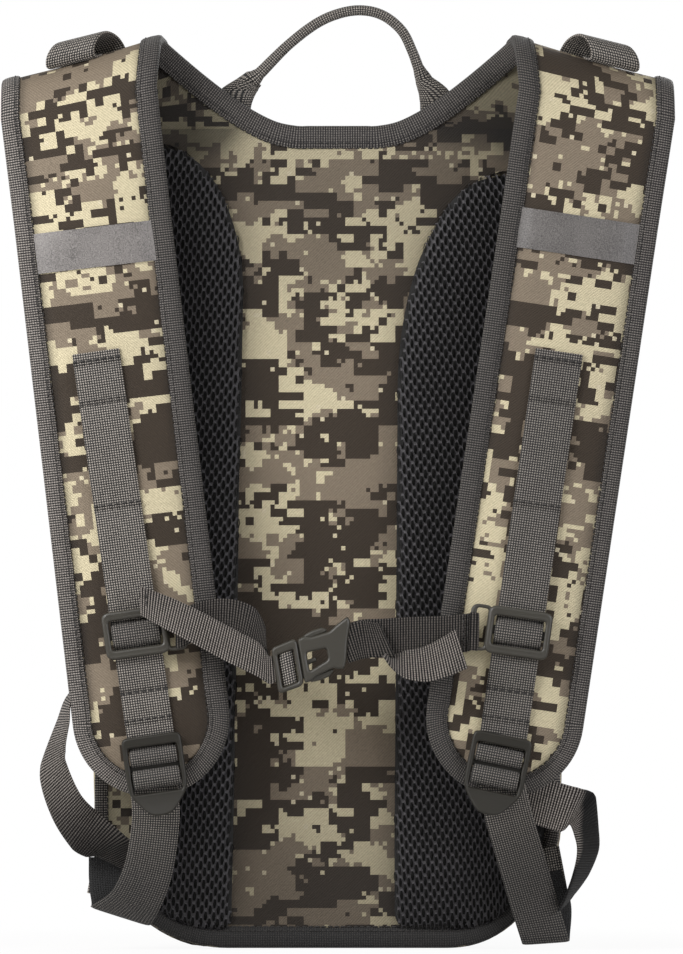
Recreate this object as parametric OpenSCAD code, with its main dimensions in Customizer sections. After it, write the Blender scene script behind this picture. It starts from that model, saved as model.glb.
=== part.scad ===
// Hydration pack: a flat back-worn bag with padded shoulder straps and a water reservoir.
// Millimetres. +Z up, +X to the right as seen from the wearer's side, which faces -Y.
// The origin is the centre of the base, on the surface the pack stands on.

/* [Bag] */
// Width of the bag
body_w = 256; // [230:1:300]
// Height of the top edge of the back panel
panel_h = 433; // [400:1:460]
// Height of the bag behind the panel
bag_h = 414; // [360:1:418]
// Depth of the bag from the panel to the front cloth
bag_d = 56; // [46:1:80]
// Radius of the bottom corners
corner_r = 70; // [50:1:90]
// Radius of the top corners of the bag
crown_r = 90; // [60:1:110]
// Thickness of the back panel
panel_t = 4; // [3:0.5:8]
// Thickness of the bag cloth
cloth_t = 2; // [1:0.25:3]
// Width of the yoke, across both wings
yoke_w = 344; // [330:1:352]
// Height where the yoke wings start
wing_z = 330; // [300:1:360]
// Width of the edge binding that shows
bind_w = 10; // [8:0.5:12]
// Thickness of the binding tape
bind_t = 0.9; // [0.6:0.1:1.2]

/* [Back padding] */
// Inner edge of the left mesh pad from the middle
left_pad_x = 52; // [45:1:65]
// Inner edge of the right mesh pad from the middle
right_pad_x = 33; // [28:1:65]
// Crown of the mesh pads over the panel
mesh_crown = 9; // [5:0.5:14]
// Thickness of the mesh pads at their seam
mesh_edge = 2.5; // [1.5:0.5:4]

/* [Shoulder straps] */
// Width of a shoulder strap
strap_w = 80; // [70:1:86]
// Thickness of the padding in the middle of a strap
pad_t = 12; // [8:0.5:16]
// Thickness of a strap at its edge and over the shoulder
pad_edge = 4; // [3:0.5:5]
// Radius of the fold over the shoulder
fold_r = 20; // [16:0.5:24]
// Height of the centre of the fold
fold_z = 446; // [442:0.5:452]
// Height of the centre of the round strap end
end_z = 122; // [110:1:140]
// Left strap centre line, distance from the middle at the fold
left_top_x = 136; // [130:0.5:140]
// Left strap centre line, distance from the middle at its end
left_end_x = 98; // [90:0.5:110]
// Right strap centre line, distance from the middle at the fold
right_top_x = 137; // [130:0.5:140]
// Right strap centre line, distance from the middle at its end
right_end_x = 88.5; // [80:0.5:110]
// Slope of the fold across a strap
fold_slope = 0.25; // [0.1:0.01:0.3]
// Height of the middle of the reflective tape
tape_z = 370; // [350:1:390]
// Width of the reflective tape
tape_w = 21; // [15:1:26]

/* [Webbing and hardware] */
// Width of the strap webbing
web_w = 25; // [20:0.5:27]
// Thickness of all webbing
web_t = 1.6; // [1.2:0.1:2]
// Width of the chest webbing
chest_w = 20; // [16:0.5:22]
// Height of the top end of the strap webbing
web_top_z = 315; // [300:1:330]
// Height of the chest strap sliders
slider_z = 167; // [160:1:180]
// Thickness of the rails of the plastic hardware
rail_t = 3; // [2.5:0.25:4]
// Radius of the ladder lock's upper bar
bar_r = 2; // [1.5:0.1:2.5]
// Height of the ladder lock's upper bar
lock_z = 112; // [105:1:125]
// Length of a ladder lock below its upper bar
lock_len = 40; // [34:1:46]
// Clearance between pieces that move or lie on each other
gap = 0.3; // [0.2:0.05:0.5]

/* [Handle] */
// Distance of each handle anchor from the middle
handle_x = 53; // [46:1:60]
// Height of the handle arch
handle_top_z = 496; // [480:1:505]
// Width of the handle webbing at its anchors
handle_w = 20; // [16:0.5:24]
// Thickness of the folded handle webbing
handle_t = 5.5; // [4:0.5:7]

/* [Zips and pocket] */
// Distance from an end of the main zip to the side of the pack
main_zip_inset = 28; // [18:1:48]
// Height of the main zip
main_zip_z = 330; // [310:1:345]
// Width of a zip tape
zip_w = 28; // [22:1:34]
// Distance from the side of the front pocket to the side of the pack
pocket_inset = 33; // [23:1:58]
// Height of the front pocket
pocket_h = 200; // [140:1:220]
// Depth of the front pocket
pocket_d = 20; // [12:1:30]
// Height of the bottom of the front pocket
pocket_z = 50; // [40:1:60]

/* [Reservoir] */
// Width of the reservoir
tank_w = 190; // [160:1:200]
// Height of the reservoir
tank_h = 320; // [260:1:330]
// Thickness of the filled reservoir
tank_d = 28; // [20:1:32]
// Wall of the reservoir
tank_wall = 1.5; // [1:0.25:2.5]
// Bore radius of the fill neck
neck_r = 22; // [18:0.5:26]
// Bore radius of the hose port
port_r = 6; // [5:0.25:7]

/* [Hidden] */
$fn = 48;
LEFT = 0;
RIGHT = 1;
camo = "#8c8166";
tape_grey = "#5f5b58";
web_grey = "#5b5753";
mesh_black = "#26272a";
plastic = "#4b4a40";

// Depths of the main faces
panel_y = -(panel_t + bag_d) / 2;
bag_y = panel_y + panel_t;
front_y = bag_y + bag_d;
skin_y = front_y + cloth_t;

// Strap places: the root stands on the top edge of the panel, the front run hangs at run_y
seam_gap = 0.9;
root_z = panel_h + seam_gap;
root_y = panel_y + panel_t / 2;
fold_y = root_y - fold_r;
run_y = root_y - 2 * fold_r;
half_w = strap_w / 2;
margin = bind_w + 1;
top_x = [left_top_x, right_top_x];
end_x = [left_end_x, right_end_x];
root_in_x = 26;
neck_in_x = 74;
swell_len = 60;
face_y = run_y - pad_t / 2;

// Strap webbing line, from its sewn top to the ladder lock
web_top_x = [127, 117];
lock_x = [98, 87.5];
bar_under = 1.8;
web_y = face_y - gap - web_t / 2;
lift_y = face_y - 2 * gap - bar_under - web_t / 2;
lock_y = web_y - bar_r - gap - web_t / 2;
free_top_z = slider_z + 46;
free_low_z = slider_z - 22;
main_zip_len = body_w - 2 * main_zip_inset;
pocket_w = body_w - 2 * pocket_inset;

function side_sign(s) = s == LEFT ? -1 : 1;
function lean(s) = (top_x[s] - end_x[s]) / (fold_z - end_z);
function strap_c(s, z) = end_x[s] + lean(s) * (z - end_z);
function web_lean(s) = (web_top_x[s] - lock_x[s]) / (web_top_z - lock_z);
function web_x(s, z) = lock_x[s] + web_lean(s) * (z - lock_z);
function unit(v) = v / norm(v);
function mix(a, b, f) = a + (b - a) * f;
function clamp01(f) = max(0, min(1, f));
function total(v) = v * [for (x = v) 1];
function arc(c, r, a0, a1, n = 10) =
    [for (i = [0:n]) let (a = mix(a0, a1, i / n)) [c[0] + r * cos(a), c[1] + r * sin(a)]];
function round_box(w, h, r, d = 0) = concat(
    arc([w / 2 - r, r], r - d, -90, 0), arc([w / 2 - r, h - r], r - d, 0, 90),
    arc([r - w / 2, h - r], r - d, 90, 180), arc([r - w / 2, r], r - d, 180, 270));

// Outline of the bag, drawn in by d
function bag_outline(d) = concat(
    arc([body_w / 2 - corner_r, corner_r], corner_r - d, -90, 0),
    arc([body_w / 2 - crown_r, bag_h - crown_r], crown_r - d, 0, 90),
    arc([crown_r - body_w / 2, bag_h - crown_r], crown_r - d, 90, 180),
    arc([corner_r - body_w / 2, corner_r], corner_r - d, 180, 270));

// Outline of the back panel with its yoke wings, drawn in by d at the sides and bottom
function panel_outline(d) = concat(
    arc([body_w / 2 - corner_r, corner_r], corner_r - d, -90, 0),
    [[body_w / 2 - d, wing_z], [yoke_w / 2 - d, panel_h - margin], [yoke_w / 2 - d, panel_h],
     [d - yoke_w / 2, panel_h], [d - yoke_w / 2, panel_h - margin], [d - body_w / 2, wing_z]],
    arc([corner_r - body_w / 2, corner_r], corner_r - d, 180, 270));

// Extrudes an outline drawn in X and Z from depth y0 to depth y1
module slab_y(y0, y1) {
    rotate([90, 0, 0]) translate([0, 0, -y1]) linear_extrude(y1 - y0) children();
}

// Closed solid through equal rings. A ring runs along one face and back along the other.
module skin(rings) {
    n = len(rings[0]);
    k = len(rings);
    last = (k - 1) * n;
    pts = [for (r = rings) each r];
    sides = [for (i = [0:k - 2]) for (j = [0:n - 1])
        let (a = i * n + j, b = i * n + (j + 1) % n) each [[a, a + n, b + n], [a, b + n, b]]];
    caps = [for (j = [0:n / 2 - 2]) let (a = j, b = j + 1, c = n - 2 - j, d = n - 1 - j)
        each [[a, b, c], [a, c, d], [last + a, last + c, last + b], [last + a, last + d, last + c]]];
    faces = concat(sides, caps);
    volume = total([for (f = faces) pts[f[0]] * cross(pts[f[1]], pts[f[2]])]);
    polyhedron(pts, volume < 0 ? faces : [for (f = faces) [f[2], f[1], f[0]]]);
}

// Flat webbing along a path. wides gives the direction of its width at each point.
module web(path, wides, w = web_w, t = web_t) {
    n = len(path);
    skin([for (i = [0:n - 1])
        let (along = unit(path[min(i + 1, n - 1)] - path[max(i - 1, 0)]),
             wide = unit(wides[i]), thin = unit(cross(along, wide)),
             a = wide * w / 2, b = thin * t / 2, p = path[i])
        [p + a + b, p - a + b, p - a - b, p + a - b]]);
}

// Mirrors a point list to the side it belongs to
function sided(s, pts) = [for (p = pts) [side_sign(s) * p[0], p[1], p[2]]];

// Rows of a strap: depth, height, normal, inner and outer edge, slope across, swell, inner half width
function root_row(f) = let (xi = mix(root_in_x, neck_in_x, f), xo = mix(yoke_w / 2, yoke_w / 2 + 4, f))
    [root_y, mix(root_z, fold_z, f) + 3 * f * (1 - f), [1, 0], xi, xo, mix(0, 0.2, f), 0,
     (xo - xi) / 2 - margin];
function fold_row(s, a) = let (f = a / 180,
        xi = a < 90 ? mix(neck_in_x, 93, sin(a)) : mix(93, top_x[s] - half_w, 2 * f - 1),
        xo = mix(yoke_w / 2 + 4, top_x[s] + half_w, f))
    [fold_y + fold_r * cos(a), fold_z + fold_r * sin(a), [cos(a), sin(a)], xi, xo,
     f < 0.5 ? mix(0.2, fold_slope, 2 * f) : mix(fold_slope, 0.21, 2 * f - 1), 0, (xo - xi) / 2 - margin];
function run_row(s, z) = let (f = clamp01((fold_z - z) / swell_len), c = strap_c(s, z))
    [run_y, z, [-1, 0], c - half_w, c + half_w, mix(0.21, lean(s), f), f, half_w - margin];
function end_row(s, a) = let (z = end_z - half_w * sin(a), c = strap_c(s, z), h = half_w * cos(a),
        q = pow(half_w - margin, 2) - pow(half_w * sin(a), 2), wi = q > 0 ? sqrt(q) : 0)
    [run_y, z, [-1, 0], c - h, c + h, lean(s), wi / (half_w - margin), max(wi, h * 0.3)];
end_angles = [15, 30, 45, 58, 70, 80];
function strap_rows(s) = concat(
    [for (f = [0, 0.5]) root_row(f)], [for (a = [0:22.5:180]) fold_row(s, a)],
    [for (z = [fold_z - 20, fold_z - 40, fold_z - swell_len, 300, 220, end_z + 20, end_z]) run_row(s, z)],
    [for (a = end_angles) end_row(s, a)]);

// A point on a row: x across, off along the row's normal
function row_point(row, x, off) = [x, row[0] + row[2][0] * off,
    row[1] + row[5] * ((row[3] + row[4]) / 2 - x) + row[2][1] * off];
columns = [[-1, 0], [-0.6, 0.75], [0, 1], [0.6, 0.75], [1, 0]];
function row_xs(row) = let (c = (row[3] + row[4]) / 2)
    concat([row[3]], [for (k = columns) c + k[0] * row[7]], [row[4]]);
function row_swells(row) = concat([0], [for (k = columns) k[1] * row[6]], [0]);
function pad_ring(row) = let (xs = row_xs(row), ws = row_swells(row), n = len(xs) - 1)
    concat([for (i = [0:n]) row_point(row, xs[i], mix(pad_edge, pad_t, ws[i]) / 2)],
           [for (i = [n:-1:0]) row_point(row, xs[i], -mix(pad_edge, pad_t, ws[i]) / 2)]);

module shoulder_pad(s) {
    color(camo) skin([for (row = strap_rows(s)) sided(s, pad_ring(row))]);
}

// Binding: edge point, direction into the pad and normal of the pad, down one edge and up the other
function edge_mark(row, outer) = let (x = outer ? row[4] : row[3], d = outer ? -1 : 1)
    [row_point(row, x, 0), unit([d, 0, -d * row[5]]), [0, row[2][0], row[2][1]]];
function end_mark(s, a, outer) = let (row = end_row(s, a), x = outer ? row[4] : row[3],
        d = outer ? -1 : 1) [row_point(row, x, 0), unit([d * cos(a), 0, sin(a)]), [0, -1, 0]];
bind_start = 0.1;
function strap_marks(s) = let (all = strap_rows(s), n = len(all) - len(end_angles) - 1,
        m = len(end_angles) - 1, rows = concat([root_row(bind_start)], [for (i = [1:n]) all[i]]))
    concat([for (i = [0:n]) edge_mark(rows[i], true)], [for (a = end_angles) end_mark(s, a, true)],
           [for (i = [m:-1:0]) end_mark(s, end_angles[i], false)],
           [for (i = [n:-1:0]) edge_mark(rows[i], false)]);
function u_ring(mark) = let (e = mark[0], in = mark[1] * bind_w, out = mark[1] * gap,
        wrap = mark[1] * (gap + bind_t), low = mark[2] * (pad_edge / 2 + gap),
        high = mark[2] * (pad_edge / 2 + gap + bind_t))
    [e + in + high, e - wrap + high, e - wrap - high, e + in - high,
     e + in - low, e - out - low, e - out + low, e + in + low];

module strap_binding(s) {
    color(tape_grey) skin([for (m = strap_marks(s)) sided(s, u_ring(m))]);
}

tape_t = 0.6;
module reflective_tape(s) {
    color("#7d7b79") skin([for (z = [tape_z - tape_w / 2, tape_z + tape_w / 2])
        let (row = run_row(s, z), xs = row_xs(row), ws = row_swells(row))
        sided(s, concat(
            [for (i = [1:5]) row_point(row, xs[i], mix(pad_edge, pad_t, ws[i]) / 2 + gap + tape_t)],
            [for (i = [5:-1:1]) row_point(row, xs[i], mix(pad_edge, pad_t, ws[i]) / 2 + gap)]))]);
}

// Places of the ladder lock and the slider on a strap: local x across, local z up along the webbing
module at_lock(s) {
    translate([side_sign(s) * lock_x[s], lock_y, lock_z])
        rotate([0, side_sign(s) * atan(web_lean(s)), 0]) children();
}
module at_slider(s) {
    translate([side_sign(s) * web_x(s, slider_z), lift_y, slider_z])
        rotate([0, side_sign(s) * atan(web_lean(s)), 0]) children();
}
function slider_point(s, x, y, z) = let (b = side_sign(s) * atan(web_lean(s)))
    [side_sign(s) * web_x(s, slider_z) + x * cos(b) + z * sin(b), lift_y + y,
     slider_z - x * sin(b) + z * cos(b)];

loop_r = bar_r + gap + web_t;
module strap_webbing(s) {
    drop = [[web_top_z, web_y], [free_top_z + 20, web_y], [free_top_z, lift_y], [free_low_z, lift_y],
            [free_low_z - 12, web_y], [lock_z + loop_r + gap, web_y]];
    color(web_grey) {
        web(sided(s, [for (p = drop) [web_x(s, p[0]), p[1], p[0]]]),
            [for (p = drop) [1, 0, -side_sign(s) * web_lean(s)]]);
        at_lock(s) rotate([0, 90, 0]) difference() {
            cylinder(r = loop_r, h = web_w, center = true);
            cylinder(r = bar_r + gap, h = web_w + 2, center = true);
        }
    }
}

// Ladder lock, in its own place: the upper bar lies on the local x axis
lock_play = 0.7;
lock_rail = 3.3;
lock_w = web_w + 2 * (lock_play + lock_rail);
slot_w = web_w + 2 * lock_play;
mid_bar = [-13, -9];
low_slot = -20;
tongue_r = lock_w / 2 - 3.5;
module ladder_lock(s) {
    color(plastic) at_lock(s) {
        slab_y(-rail_t / 2, rail_t / 2) difference() {
            union() {
                translate([-lock_w / 2, low_slot - 6]) square([lock_w, bar_r - low_slot + 6]);
                translate([0, tongue_r - lock_len]) circle(tongue_r);
                translate([-tongue_r, tongue_r - lock_len])
                    square([2 * tongue_r, lock_len - tongue_r + low_slot]);
            }
            translate([-slot_w / 2, mid_bar[1]]) square([slot_w, bar_r - mid_bar[1] + 1]);
            translate([-slot_w / 2, low_slot]) square([slot_w, mid_bar[0] - low_slot]);
        }
        rotate([0, 90, 0]) cylinder(r = bar_r, h = slot_w + lock_rail, center = true);
    }
}
module lock_wrap(s) {
    shell = gap + web_t;
    h = mid_bar[1] - mid_bar[0];
    color(web_grey) at_lock(s) difference() {
        translate([-web_w / 2, -rail_t / 2 - shell, mid_bar[0] - shell])
            cube([web_w, rail_t + shell, h + 2 * shell]);
        translate([-web_w / 2 - 1, -rail_t / 2 - gap, mid_bar[0] - gap])
            cube([web_w + 2, rail_t + shell + 1, h + 2 * gap]);
    }
}

// Lower webs: from behind the lock's tongue down to a hairpin at the corner and up to the anchor tab
tab_t = 1.8;
tab_y = panel_y - bind_t - tab_t;
back_y = tab_y - gap - web_t / 2;
low_y = lock_y + rail_t / 2 + gap + web_t / 2;
// x of each point counts from the lock and then from the side of the pack
low_in = 4;
low_points = let (b = body_w / 2, l = lock_x[LEFT], r = lock_x[RIGHT]) [
    [[l - 1, low_y, lock_z - 18], [l - 2.5, low_y + low_in, lock_z - 42],
     [l + 1, back_y - 27.2, lock_z - 66], [b - 18, back_y - 12.2, 22],
     [b - 14.5, back_y - 6, 13.5], [b - 13.7, back_y - 3, 12],
     [b - 13, back_y - 0.5, 14], [b - 8, back_y, 36]],
    [[r - 1.5, low_y, lock_z - 18], [r + 3.5, low_y + low_in, lock_z - 40],
     [r + 9.5, back_y - 26.2, lock_z - 60], [b - 23.5, back_y - 13.2, 25],
     [b - 19, back_y - 6, 8], [b - 18.2, back_y - 3, 6.5],
     [b - 17.7, back_y - 0.5, 8.5], [b - 12, back_y, 34]]];
low_turn = [[-0.1, 0, 0.25, 0.4, 0.4, 0.4, 0.4, 0.35], [-0.15, 0.1, 0.25, 0.27, 0.27, 0.27, 0.27, 0.25]];
module lower_web(s) {
    color(web_grey) web(sided(s, low_points[s]), sided(s, [for (k = low_turn[s]) [1, 0, k]]));
}
module anchor_tab(s) {
    b = body_w / 2;
    corners = [[b - 12, 52], [b - 1, 54], [b + 4, 30], [b - 7, 28]];
    color(web_grey) slab_y(tab_y, panel_y - bind_t)
        polygon([for (p = corners) [side_sign(s) * p[0], p[1]]]);
}

// Loose tails of the lower webs
tail_y = run_y + pad_t / 2 + gap + web_t / 2;
tail_offsets = [
    [[6, 0, 12], [30, 2, 8], [45, 9, -2], [51, 13, -19], [50, 15, -37], [42, 16, -56], [29, 17, -69]],
    [[7.5, 0, -30], [19.5, 2, -34], [32.5, 8, -37], [44.5, 13, -47], [47.5, 15, -65], [42.5, 16, -82],
     [32.5, 17, -95]]];
tail_points = [for (s = [LEFT, RIGHT]) [for (p = tail_offsets[s]) p + [end_x[s], tail_y, end_z]]];
tail_turn = [
    [[0.3, 0, 1], [0.35, 0.2, 1], [0.6, 0.8, 0.5], [0.5, 1, 0], [0.5, 1, -0.2], [0.4, 1, -0.5],
     [0.3, 1, -0.5]],
    [[0.3, 0, 1], [0.3, 0.3, 1], [0.3, 0.8, 0.7], [0.5, 1, 0.2], [0.5, 1, 0], [0.4, 1, -0.3],
     [0.3, 1, -0.5]]];
module tail_loop(s) {
    color(web_grey) web(sided(s, tail_points[s]), sided(s, tail_turn[s]), w = 0.8 * web_w);
}

// Hose keeper: an arch of webbing across the top of the fold
keeper_x = [134, 140];
keeper_len = 40;
keeper_h = 7.5;
keeper_gap = 0.9;
keeper_span = 36;
module hose_keeper(s) {
    row = fold_row(s, 90);
    steps = [for (i = [-6:6]) i / 6];
    color(web_grey) skin([for (x = [keeper_x[s] - keeper_len / 2, keeper_x[s] + keeper_len / 2])
        let (z = fold_z + fold_slope * ((row[3] + row[4]) / 2 - x),
             rs = [for (f = steps) fold_r + pad_edge / 2 + keeper_gap + keeper_h * sqrt(1 - f * f)],
             as = [for (f = steps) 90 + keeper_span * f])
        sided(s, concat(
            [for (i = [0:12]) [x, fold_y + (rs[i] + web_t) * cos(as[i]), z + (rs[i] + web_t) * sin(as[i])]],
            [for (i = [12:-1:0]) [x, fold_y + rs[i] * cos(as[i]), z + rs[i] * sin(as[i])]]))]);
}

// Sternum slider: a frame in front of the webbing, a bar behind it and a D loop towards the chest
slider_play = 2.1;
slider_post = 2.4;
slider_h = 25;
slider_w = web_w + 2 * (slider_play + slider_post);
d_bar = 3;
d_open = 6;
d_x = slider_w / 2 + d_open + d_bar / 2;
plate_y = -web_t / 2 - gap - rail_t;
d_h = chest_w + 1.2;
module sternum_slider(s) {
    in = -side_sign(s);
    color(plastic) at_slider(s) {
        slab_y(plate_y, plate_y + rail_t) difference() {
            union() {
                square([slider_w, slider_h], center = true);
                translate([in * (slider_w / 2 + d_x) / 2, 0])
                    square([d_x - slider_w / 2 + d_bar, d_h + 2 * d_bar], center = true);
            }
            square([slider_w - 2 * slider_post, slider_h - 10], center = true);
            translate([in * (slider_w / 2 + d_open / 2), 0]) square([d_open, d_h], center = true);
        }
        for (x = [-1, 1]) translate([x * (slider_w - slider_post) / 2, 0, 0])
            translate([-slider_post / 2, plate_y + rail_t, -2.5])
                cube([slider_post, web_t + 2 * gap + bar_under, 5]);
        translate([-slider_w / 2, web_t / 2 + gap, -2.5]) cube([slider_w, bar_under, 5]);
    }
}

// Side-release buckle on the chest strap: local x along the strap, local z across it
buckle_at = [-14, lift_y - 7, 154];
buckle_tilt = 20.8;
male_end = -20;
female_end = 21;
buckle_h = 24;
male_t = 3.5;
male_bar = 2.5;
female_t = 4.5;
female_bar = 2;
module at_buckle() {
    translate(buckle_at) rotate([0, -buckle_tilt, 0]) children();
}
function buckle_point(x, y, z) = buckle_at
    + [x * cos(buckle_tilt) - z * sin(buckle_tilt), y, x * sin(buckle_tilt) + z * cos(buckle_tilt)];
module buckle_male() {
    color(plastic) at_buckle() {
        slab_y(-male_t, male_t) difference() {
            translate([male_end, -buckle_h / 2]) square([14, buckle_h]);
            translate([male_end + male_bar, -chest_w / 2 - 0.5]) square([4, chest_w + 1]);
        }
        translate([-6, -1.5, -2.5]) cube([14, 3, 5]);
    }
}
module buckle_female() {
    color(plastic) at_buckle() difference() {
        translate([-5.5, -female_t, -buckle_h / 2]) cube([female_end + 5.5, 2 * female_t, buckle_h]);
        translate([-6, -3, -10.6]) cube([20, 6, 21.2]);
        translate([-1.5, -3, -buckle_h]) cube([12, 6, 2 * buckle_h]);
        translate([1, -5, -6]) cube([9, 10, 12]);
        translate([female_end - female_bar - 3.5, -5, -chest_w / 2 - 0.4]) cube([3.5, 10, chest_w + 0.8]);
    }
}
latch_x = -4.2;
latch_z = 8.6;
module latch_arm(up) {
    color(plastic) at_buckle() mirror([0, 0, up ? 0 : 1]) {
        slab_y(-2, 2) polygon([[latch_x, 7], [9, 7.3], [9.5, 10], [8, 12.6], [2, 12.6], [0.5, 10.2],
                               [latch_x, 10.2]]);
        translate([latch_x, 0, latch_z]) rotate([90, 0, 0]) cylinder(r = 1.6, h = 4, center = true);
    }
}

// Chest webs: sewn round the D bar of a slider, then across to the buckle
wrap_r = 2.4 + web_t / 2;
bar_y = plate_y + rail_t / 2;
function d_wrap(s) = let (in = -side_sign(s)) concat(
    [slider_point(s, in * (d_x + 10), bar_y - wrap_r, 0)],
    [for (a = [-90:-30:-270]) slider_point(s, in * (d_x + wrap_r * cos(a)), bar_y + wrap_r * sin(a), 0)]);
function upright(n, v) = [for (i = [1:n]) v];
d_wide = [for (s = [LEFT, RIGHT]) slider_point(s, 0, 0, 1) - slider_point(s, 0, 0, 0)];
buckle_wide = buckle_point(0, 0, 1) - buckle_at;
// Webbing round an end bar of the buckle, from local x0 to x1, half as thick as half_t
module bar_loop(x0, x1, half_t) {
    out = gap + web_t;
    at_buckle() difference() {
        translate([x0 - out, -half_t - out, -chest_w / 2])
            cube([x1 - x0 + 2 * out, 2 * (half_t + out), chest_w]);
        translate([x0 - gap, -half_t - gap, -chest_w])
            cube([x1 - x0 + 2 * gap, 2 * (half_t + gap), 2 * chest_w]);
    }
}
loop_out = 2 * gap + web_t;
module chest_web_left() {
    span = [[-66, lift_y - 1.5, slider_z + 5], [-54, lift_y - 4, slider_z + 3],
            [-44, lift_y - 6, slider_z - 7], buckle_point(male_end - loop_out, 0.5, 0)];
    turns = [[0, 0, 1], [0, 0, 1], [-0.1, 0, 1], buckle_wide];
    color(web_grey) {
        web(concat(d_wrap(LEFT), span), concat(upright(8, d_wide[LEFT]), turns), w = chest_w);
        bar_loop(male_end, male_end + male_bar, male_t);
    }
}
module chest_web_right() {
    span = [[52, lift_y - 1, slider_z], [26, lift_y - 4.5, slider_z - 3],
            buckle_point(female_end + loop_out, 0.5, 0)];
    turns = [[0, 0, 1], [0, 0, 1], buckle_wide];
    color(web_grey) {
        web(concat(d_wrap(RIGHT), span), concat(upright(8, d_wide[RIGHT]), turns), w = chest_w);
        bar_loop(female_end - female_bar, female_end, female_t);
    }
}
module chest_tail_left() {
    path = [buckle_point(male_end - loop_out, -2.2, 0), [-50, lift_y - 10.5, slider_z - 9],
            [-78, lift_y - 10.5, slider_z + 5], [-103, lift_y - 9, slider_z + 17]];
    color(web_grey) web(path, concat([buckle_wide], upright(3, [0.43, 0, 0.9])), w = 0.9 * chest_w);
}
module chest_tail_right() {
    path = [buckle_point(female_end + loop_out, -2.2, 0), [22, lift_y - 10, slider_z - 5],
            [43, lift_y - 10.5, slider_z - 14], [66, lift_y - 9, slider_z - 8]];
    color(web_grey) web(path, [buckle_wide, [0.1, 0, 1], [0, 0, 1], [-0.3, 0, 1]], w = 0.95 * chest_w);
}

// Grab handle: flat at its anchors and folded edge-on over the arch
handle_y = bag_y + 6.5;
handle_foot = 3;
handle_seam = 437;
handle_axis_z = handle_seam + gap + handle_foot / 2;
handle_path = [[-handle_x - 2, handle_axis_z], [3 - handle_x, 450], [-42, 459.5], [-26, 476], [-11, 487],
    [2, handle_top_z - 4], [14, handle_top_z - 2], [25, handle_top_z - 5], [34.5, 484], [40, 473], [43, 462],
    [handle_x - 5, 450], [handle_x, handle_axis_z]];
handle_feet = [handle_path[0][0], handle_path[len(handle_path) - 1][0]];
function handle_ring(i) = let (n = len(handle_path) - 1, e = min(i, n - i), f = clamp01((e - 0.5) / 2),
        along = unit(handle_path[min(i + 1, n)] - handle_path[max(i - 1, 0)]),
        a = e == 0 ? [handle_w / 2, 0] : [along[1], -along[0]] * mix(handle_w, handle_t, f) / 2,
        b = mix(handle_foot, 13, f) / 2, p = handle_path[i])
    [[p[0] + a[0], handle_y + b, p[1] + a[1]], [p[0] - a[0], handle_y + b, p[1] - a[1]],
     [p[0] - a[0], handle_y - b, p[1] - a[1]], [p[0] + a[0], handle_y - b, p[1] + a[1]]];
module grab_handle() {
    n = len(handle_path) - 1;
    first = handle_ring(0);
    last = [first[1], first[0], first[3], first[2]] + upright(4, [handle_feet[1] - handle_feet[0], 0, 0]);
    color(web_grey) {
        skin([for (i = [0:n]) i == n ? last : handle_ring(i)]);
        for (x = handle_feet) translate([x, handle_y, handle_axis_z]) rotate([0, 90, 0])
            cylinder(d = handle_foot, h = handle_w, center = true);
    }
}
anchor_t = 6.5 + handle_foot / 2;
swing_room = 1.5;
module handle_anchors() {
    color(web_grey) for (x = handle_feet) translate([x - handle_w / 2, bag_y, bag_h + gap]) {
        cube([handle_w, anchor_t, panel_h - bind_w / 2 - bag_h]);
        translate([0, swing_room, 0]) cube([handle_w, anchor_t - swing_room, handle_seam - bag_h - gap]);
    }
}

// Back panel and its padding
module back_panel() {
    color(camo) slab_y(panel_y, bag_y) polygon(panel_outline(bind_t));
}
mesh_in = [left_pad_x, right_pad_x];
mesh_drift = [8, -3];
mesh_top = [426, 411];
mesh_turn = [[43, 76], [57, 92]];
mesh_low = 14;
mesh_columns = [for (i = [0:8]) i / 8];
function mesh_inner(s, z) = let (h = clamp01((z - mesh_top[s] + mesh_turn[s][1]) / mesh_turn[s][1]))
    mesh_in[s] + mesh_drift[s] * (1 - z / panel_h) + mesh_turn[s][0] * (1 - sqrt(1 - h * h));
function mesh_outer(z) = let (m = bind_w + gap + 0.5, r = corner_r - m)
    z < corner_r ? body_w / 2 - corner_r + sqrt(r * r - pow(corner_r - z, 2))
                 : body_w / 2 - m + 0.1 * max(0, z - wing_z);
function mesh_zs(s) = concat([mesh_low, 18, 25, 36, 52, corner_r],
    [for (i = [1:5]) mix(corner_r, wing_z, i / 5)], [for (i = [1:6]) mix(wing_z, mesh_top[s], i / 6)]);
module mesh_pad(s) {
    color(mesh_black) skin([for (z = mesh_zs(s))
        let (xi = mesh_inner(s, z), xo = mesh_outer(z),
             e = clamp01((z - mesh_low) / 30) * clamp01((mesh_top[s] - z) / 40), rise = mesh_crown * sqrt(e))
        sided(s, concat(
            [for (f = mesh_columns) [mix(xi, xo, f), panel_y - mesh_edge - rise * sqrt(4 * f * (1 - f)), z]],
            [for (f = mesh_columns) [mix(xo, xi, f), panel_y, z]]))]);
}
module panel_binding() {
    color(tape_grey) intersection() {
        union() {
            slab_y(panel_y - bind_t, panel_y) difference() {
                polygon(panel_outline(0));
                polygon(panel_outline(bind_w));
            }
            slab_y(panel_y - bind_t, bag_y) difference() {
                polygon(panel_outline(0));
                polygon(panel_outline(bind_t));
            }
        }
        translate([-body_w, -body_w, 0]) cube([2 * body_w, 2 * body_w, wing_z]);
    }
}
module neck_binding() {
    w = 2 * (root_in_x - 1);
    color(tape_grey) {
        translate([-w / 2, panel_y - bind_t, panel_h - bind_w]) cube([w, bind_t, bind_w + bind_t]);
        translate([-w / 2, panel_y - bind_t, panel_h]) cube([w, panel_t + bind_t, bind_t]);
    }
}

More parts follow.
